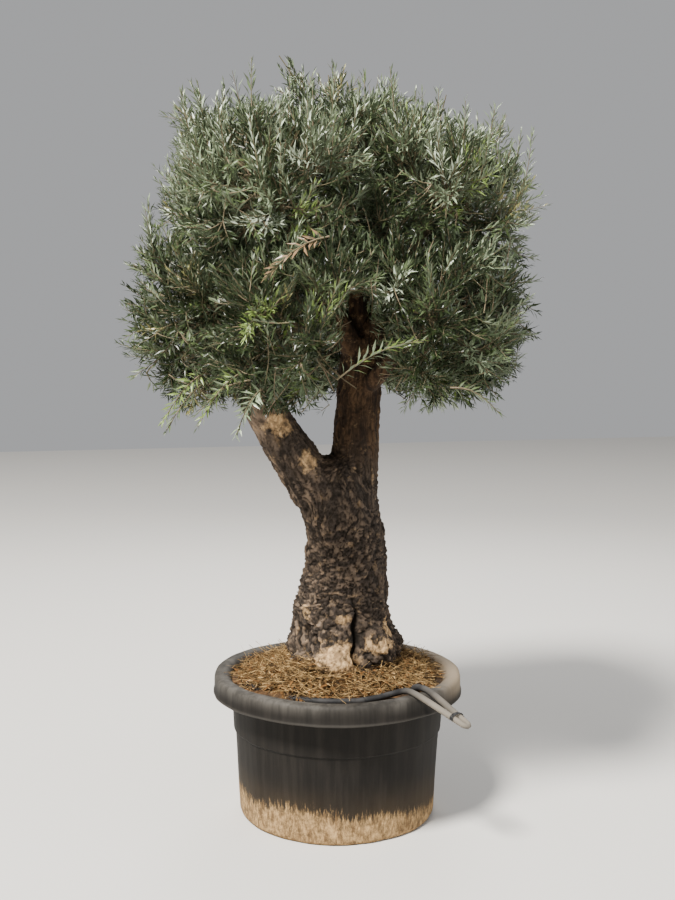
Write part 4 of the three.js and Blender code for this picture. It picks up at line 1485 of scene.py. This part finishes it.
def make_leaves(settings):
    uppers = [
        plain_material(f"leaf_{name}", getattr(settings, name), settings.roughness, 0.55) for name in TINTS
    ]
    under = plain_material("leaf_silver_underside", settings.underside, 0.7, 0.35)
    # The darker underside of the inner and lower leaves: painted shade.
    shaded = plain_material("leaf_dull_underside", settings.shaded_underside, 0.75, 0.25)
    tree = leaves_tree(leaf_template(), uppers, under, shaded)
    sizes = {"Leaf Length": settings.length, "Leaf Width": settings.width}
    points, edges, radii = [], [], []
    for key in FOLIAGE:
        growth = grow_finely(key, settings)
        roots, directions, normals, shares, tints = (np.array(column) for column in zip(*growth.leaves))
        carrier = add_object("leaf_roots", mesh_of("leaf_roots", roots * MM))
        put_attribute(carrier.data, "turn", turns_of(directions, normals), "FLOAT_VECTOR")
        put_attribute(carrier.data, "size", shares)
        put_attribute(carrier.data, "tint", tints)
        finish_piece(made_by_nodes(carrier, tree, sizes, "leaves_" + key), "leaf", "foliage_" + key)
        first = len(points)
        points.extend(growth.points)
        edges.extend((a + first, b + first) for a, b in growth.edges)
        radii.extend(growth.radii)
    finish = Finish("twig_bark", roughness=0.8, specular=0.3)
    patches = finish.noise(30.0, detail=3.0)
    colour = finish.mixed(finish.range(patches, 0.35, 0.65), settings.twig_colour, settings.twig_shade)
    material = finish.finish(colour, patches, strength=0.3, distance=0.001)
    twigs = tubes("twigs", np.array(points) * MM, edges, np.array(radii) * MM, material, 3)
    finish_piece(twigs, "young_bark")


# Stage

def aim(thing, target):
    way = Vector(target) - thing.location
    thing.rotation_euler = way.to_track_quat("-Z", "Y").to_euler()


def add_light(name, place, size, power, colour):
    light = bpy.data.lights.new(name, "AREA")
    light.shape = "DISK"
    light.size = size
    light.energy = power
    light.color = colour
    thing = bpy.data.objects.new(name, light)
    thing.location = place
    bpy.context.scene.collection.objects.link(thing)
    aim(thing, (0, 0, 1.2))


# Each light: its place, its size, its share of the key's power, and its colour.
LIGHTS = {
    "key": ((-5.6, -4.4, 10.4), 2.6, 1.0, (1.0, 0.965, 0.90)),
    "fill": ((3.6, -2.6, 2.4), 3.0, 0.012, (0.93, 0.96, 1.0)),
    "back": ((1.6, 3.8, 4.0), 2.4, 0.03, (1.0, 0.98, 0.95)),
}


def make_stage(settings):
    camera = bpy.data.cameras.new("viewpoint")
    camera.lens = settings.lens
    camera.sensor_width = 36
    camera.clip_end = 60
    viewer = bpy.data.objects.new("viewpoint", camera)
    viewer.location = settings.camera_place
    bpy.context.scene.collection.objects.link(viewer)
    aim(viewer, settings.camera_target)
    bpy.context.scene.camera = viewer

    for name, (place, size, share, colour) in LIGHTS.items():
        add_light(name, place, size, settings.key_power * share, colour)
    world = bpy.data.worlds.new("studio")
    world.use_nodes = True
    shade = world.node_tree.nodes["Background"]
    shade.inputs[0].default_value = (0.90, 0.91, 0.93, 1)
    shade.inputs[1].default_value = settings.sky_strength
    bpy.context.scene.world = world

    reach = 14
    corners = [(-reach, -reach, 0), (reach, -reach, 0), (reach, reach, 0), (-reach, reach, 0)]
    floor = add_object("studio_floor", mesh_of("studio_floor", corners, [(0, 1, 2, 3)]))
    floor.data.materials.append(plain_material("studio_floor", settings.floor_colour, 0.9, 0.2))


# Settings

def colour_setting(name, description, value):
    return FloatVectorProperty(
        name=name, description=description, default=value, subtype="COLOR", min=0, max=1
    )


def length_setting(name, description, value):
    return FloatProperty(name=name, description=description, default=value, unit="LENGTH", precision=4)


def number_setting(name, description, value, unit="NONE"):
    return FloatProperty(name=name, description=description, default=value, unit=unit)


def count_setting(name, description, value, least=0):
    return IntProperty(name=name, description=description, default=value, min=least)


def place_setting(name, description, value):
    return FloatVectorProperty(name=name, description=description, default=value, subtype="TRANSLATION")


class OlivePotSettings(bpy.types.PropertyGroup):
    sides: count_setting("Sides", "Faces round the pot", 144, 36)
    dent_depth: length_setting("Dents", "How far the wall is out of round", 0.005)
    rim_wave: length_setting("Rim wave", "How far the rim dips and rises", 0.004)
    mud_height: length_setting("Mud height", "How far the dry mud has splashed up", 0.085)
    colour: colour_setting("Plastic", "The black plastic where it is least faded", (0.0058, 0.0049, 0.0040))
    faded_colour: colour_setting("Faded plastic", "Along its upright scuffs", (0.0158, 0.0134, 0.0112))
    rim_colour: colour_setting("Bleached rim", "On the collar and along its lip", (0.074, 0.068, 0.060))
    # The collar's pale tan right side: painted sunlight, partly sun-bleached plastic.
    bleach_and_sunlight_colour: colour_setting("Sunny rim", "On the collar's sunny side", (0.32, 0.25, 0.17))
    mud_colour: colour_setting("Mud", "Dry mud at the foot", (0.50, 0.325, 0.150))
    mud_shade: colour_setting("Dark mud", "Darker specks in the mud", (0.15, 0.090, 0.042))


class OliveSoilSettings(bpy.types.PropertyGroup):
    mound: length_setting("Mound", "How far the soil is heaped against the trunk", 0.036)
    heap: length_setting("Heap", "How far litter is heaped at the left", 0.042)
    bumps: length_setting("Bumps", "How uneven the soil is", 0.009)
    litter_depth: length_setting("Litter depth", "How thick the litter lies", 0.024)
    straw_density: number_setting("Straw", "Stalks in a square metre", 4700)
    soil_colour: colour_setting("Soil", "Dry soil", (0.085, 0.053, 0.029))
    # Used as painted shade in the soil's hollows, and for the chaff's darker blotches.
    soil_shade: colour_setting("Dark soil", "Soil in its hollows", (0.018, 0.011, 0.007))
    rust_colour: colour_setting("Rust", "Rusty dead leaves", (0.190, 0.088, 0.028))
    straw_colour: colour_setting("Straw", "Pale dry stalks", (0.46, 0.305, 0.135))
    straw_shade: colour_setting("Dark straw", "Older dry stalks", (0.075, 0.040, 0.016))
    chaff_colour: colour_setting("Chaff", "Grey chaff", (0.115, 0.082, 0.045))


class OlivePipeSettings(bpy.types.PropertyGroup):
    sides: count_setting("Sides", "Faces round the pipe", 20, 6)
    radius: length_setting("Radius", "Of the pipe", PIPE["radius"] * MM)
    colour: colour_setting("Pipe", "The black pipe", (0.010, 0.010, 0.011))
    faded_colour: colour_setting("Faded pipe", "Scuffs along the pipe", (0.035, 0.034, 0.034))
    bleach_and_sunlight_colour: colour_setting("Bleached end", "The folded end in the sun", (0.165, 0.145, 0.118))


class OliveBarkSettings(bpy.types.PropertyGroup):
    grain: length_setting("Grain", "Size of the faces that the relief is cut in", 0.0046)
    smoothing: count_setting("Smoothing", "Rounds that take the solids' corners off", 60)
    plate_stretch: number_setting("Plate stretch", "Breadth of a plate to its length", 0.3)
    fissure_depth: length_setting("Fissures", "Depth of the cracks in the oldest bark", 0.0145)
    cleft_depth: length_setting("Cleft", "Depth of the cleft at the foot", 0.022)
    lump_height: length_setting("Lumps", "Height of knobs on the oldest bark", 0.0095)
    old_colour: colour_setting("Old bark", "Ridges of the lower trunk", (0.056, 0.043, 0.034))
    # Partly the dark of the fissures, partly painted shade in them.
    old_shade: colour_setting("Old bark, dark", "Between its flecks", (0.015, 0.011, 0.008))
    crack_colour_and_shade: colour_setting("Cracks", "In the cracks of old bark", (0.008, 0.006, 0.004))
    tan_colour: colour_setting("Tan patches", "Patches where old bark is worn", (0.200, 0.144, 0.102))
    young_colour: colour_setting("Upper bark", "Stringy bark of the boughs", (0.075, 0.043, 0.022))
    young_shade: colour_setting("Upper bark, dark", "Between its strings", (0.014, 0.008, 0.005))
    bare_colour: colour_setting("Bare wood", "Pale wood on the burls", (0.72, 0.475, 0.235))
    bare_shade: colour_setting("Bare wood, dark", "Its darker flecks", (0.26, 0.165, 0.085))


class OliveLeafSettings(bpy.types.PropertyGroup):
    length: length_setting("Leaf length", "Of a full-grown leaf", 0.042)
    width: length_setting("Leaf width", "Of a full-grown leaf", 0.0078)
    pair_spacing: length_setting("Pair spacing", "Between two pairs of leaves", 0.0098)
    overlap: length_setting("Overlap", "How far masses may grow into each other", 0.03)
    side_shoots: count_setting("Side shoots", "On each spray", 6)
    fillers: count_setting("Fillers", "Further branchlets tried in each mass", 26)
    filler_shoots: count_setting("Filler shoots", "On each further branchlet", 5)
    inner_shoots: count_setting("Inner shoots", "Near the foot of each branchlet", 4)
    gap: length_setting("Gaps", "A part of a mass with no leaf within this gets a shoot", 0.042)
    riser_share: number_setting("Risers", "Share of the sprays on top that end in an upright shoot", 0.62)
    shoot_lift: number_setting("Lift", "How far shoots bend up, as a share of their length", 0.2)
    roughness: number_setting("Roughness", "Of the leaves' upper side", 0.37)
    grey_green: colour_setting("Grey-green", "Most leaves", (0.070, 0.101, 0.038))
    # Painted shade: the darker copy of the leaves, put inside and below the crown.
    shaded_green: colour_setting("Deep green", "Leaves inside and below", (0.019, 0.031, 0.009))
    # Sage and silver, put on top, are partly painted light.
    sage: colour_setting("Sage", "Pale leaves on top", (0.190, 0.242, 0.145))
    silver: colour_setting("Silver", "The palest leaves on top", (0.36, 0.42, 0.31))
    fresh_green: colour_setting("Fresh green", "Leaves of new shoots", (0.135, 0.195, 0.045))
    straw_green: colour_setting("Straw green", "Leaves that turn", (0.170, 0.160, 0.055))
    dry: colour_setting("Dry", "Dead leaves", (0.200, 0.125, 0.066))
    underside: colour_setting("Underside", "The silvery underside", (0.125, 0.155, 0.095))
    # Painted shade: the underside of the deep green leaves.
    shaded_underside: colour_setting("Dull underside", "Under the deep green leaves", (0.036, 0.052, 0.024))
    twig_colour: colour_setting("Twigs", "Their grey-brown bark", (0.165, 0.125, 0.078))
    twig_shade: colour_setting("Young twigs", "Their greener patches", (0.115, 0.105, 0.055))


class OliveStageSettings(bpy.types.PropertyGroup):
    camera_place: place_setting("Camera", "Where the camera stands", (-0.970, -3.272, 1.41))
    camera_target: place_setting("Target", "What the camera looks at", (0.0, 0.0, 1.125))
    lens: number_setting("Lens", "Focal length", 44.5, "CAMERA")
    key_power: number_setting("Key light", "Power of the main light", 5200, "POWER")
    sky_strength: number_setting("Sky", "Strength of the light from all round", 0.46)
    floor_colour: colour_setting("Floor", "The plain pale floor", (0.60, 0.585, 0.56))


# Operators

class OLIVE_OT_stage(bpy.types.Operator):
    """Set up the camera, the lights and the floor"""

    bl_idname = "olive.stage"
    bl_label = "Stage"

    def execute(self, context):
        make_stage(context.scene.olive_stage)
        return {"FINISHED"}


class OLIVE_OT_pot(bpy.types.Operator):
    """Make the pot with its rolled collar, dents and dry mud"""

    bl_idname = "olive.pot"
    bl_label = "Pot"

    def execute(self, context):
        make_pot(context.scene.olive_pot)
        return {"FINISHED"}


class OLIVE_OT_soil(bpy.types.Operator):
    """Fill the pot with soil, and strew dry litter on it"""

    bl_idname = "olive.soil"
    bl_label = "Soil and litter"

    def execute(self, context):
        make_soil(context.scene.olive_soil)
        make_litter(context.scene.olive_soil)
        return {"FINISHED"}


class OLIVE_OT_pipe(bpy.types.Operator):
    """Lay the drip pipe round the trunk and over the collar, with its folded end"""

    bl_idname = "olive.pipe"
    bl_label = "Pipe"

    def execute(self, context):
        make_pipe(context.scene.olive_pipe)
        make_tie(context.scene.olive_pipe)
        return {"FINISHED"}


class OLIVE_OT_bark(bpy.types.Operator):
    """Cover the trunk, the boughs and the limbs with bark"""

    bl_idname = "olive.bark"
    bl_label = "Bark"

    def execute(self, context):
        make_bark(context.scene.olive_bark)
        return {"FINISHED"}


class OLIVE_OT_leaves(bpy.types.Operator):
    """Grow twigs and leaves in place of the masses"""

    bl_idname = "olive.leaves"
    bl_label = "Twigs and leaves"

    def execute(self, context):
        make_leaves(context.scene.olive_leaf)
        return {"FINISHED"}


class OLIVE_PT_panel(bpy.types.Panel):
    """Lists the pieces of the olive tree and their settings"""

    bl_idname = "OLIVE_PT_panel"
    bl_label = "Potted olive tree"
    bl_space_type = "VIEW_3D"
    bl_region_type = "UI"
    bl_category = "Olive"

    def draw(self, context):
        for operator, group in PIECES:
            box = self.layout.box()
            box.operator(operator.bl_idname)
            settings = getattr(context.scene, group)
            for name in settings.__annotations__:
                box.prop(settings, name)


PIECES = (
    (OLIVE_OT_stage, "olive_stage"),
    (OLIVE_OT_pot, "olive_pot"),
    (OLIVE_OT_soil, "olive_soil"),
    (OLIVE_OT_pipe, "olive_pipe"),
    (OLIVE_OT_bark, "olive_bark"),
    (OLIVE_OT_leaves, "olive_leaf"),
)
SETTINGS = {
    "olive_stage": OliveStageSettings,
    "olive_pot": OlivePotSettings,
    "olive_soil": OliveSoilSettings,
    "olive_pipe": OlivePipeSettings,
    "olive_bark": OliveBarkSettings,
    "olive_leaf": OliveLeafSettings,
}


def register():
    for name, group in SETTINGS.items():
        bpy.utils.register_class(group)
        setattr(bpy.types.Scene, name, PointerProperty(type=group))
    for operator, _ in PIECES:
        bpy.utils.register_class(operator)
    bpy.utils.register_class(OLIVE_PT_panel)


def unregister():
    bpy.utils.unregister_class(OLIVE_PT_panel)
    for operator, _ in reversed(PIECES):
        bpy.utils.unregister_class(operator)
    for name, group in SETTINGS.items():
        delattr(bpy.types.Scene, name)
        bpy.utils.unregister_class(group)


def main():
    register()
    bpy.ops.olive.stage()
    bpy.ops.olive.pot()
    bpy.ops.olive.soil()
    bpy.ops.olive.pipe()
    bpy.ops.olive.bark()
    bpy.ops.olive.leaves()


if __name__ == "__main__":
    main()
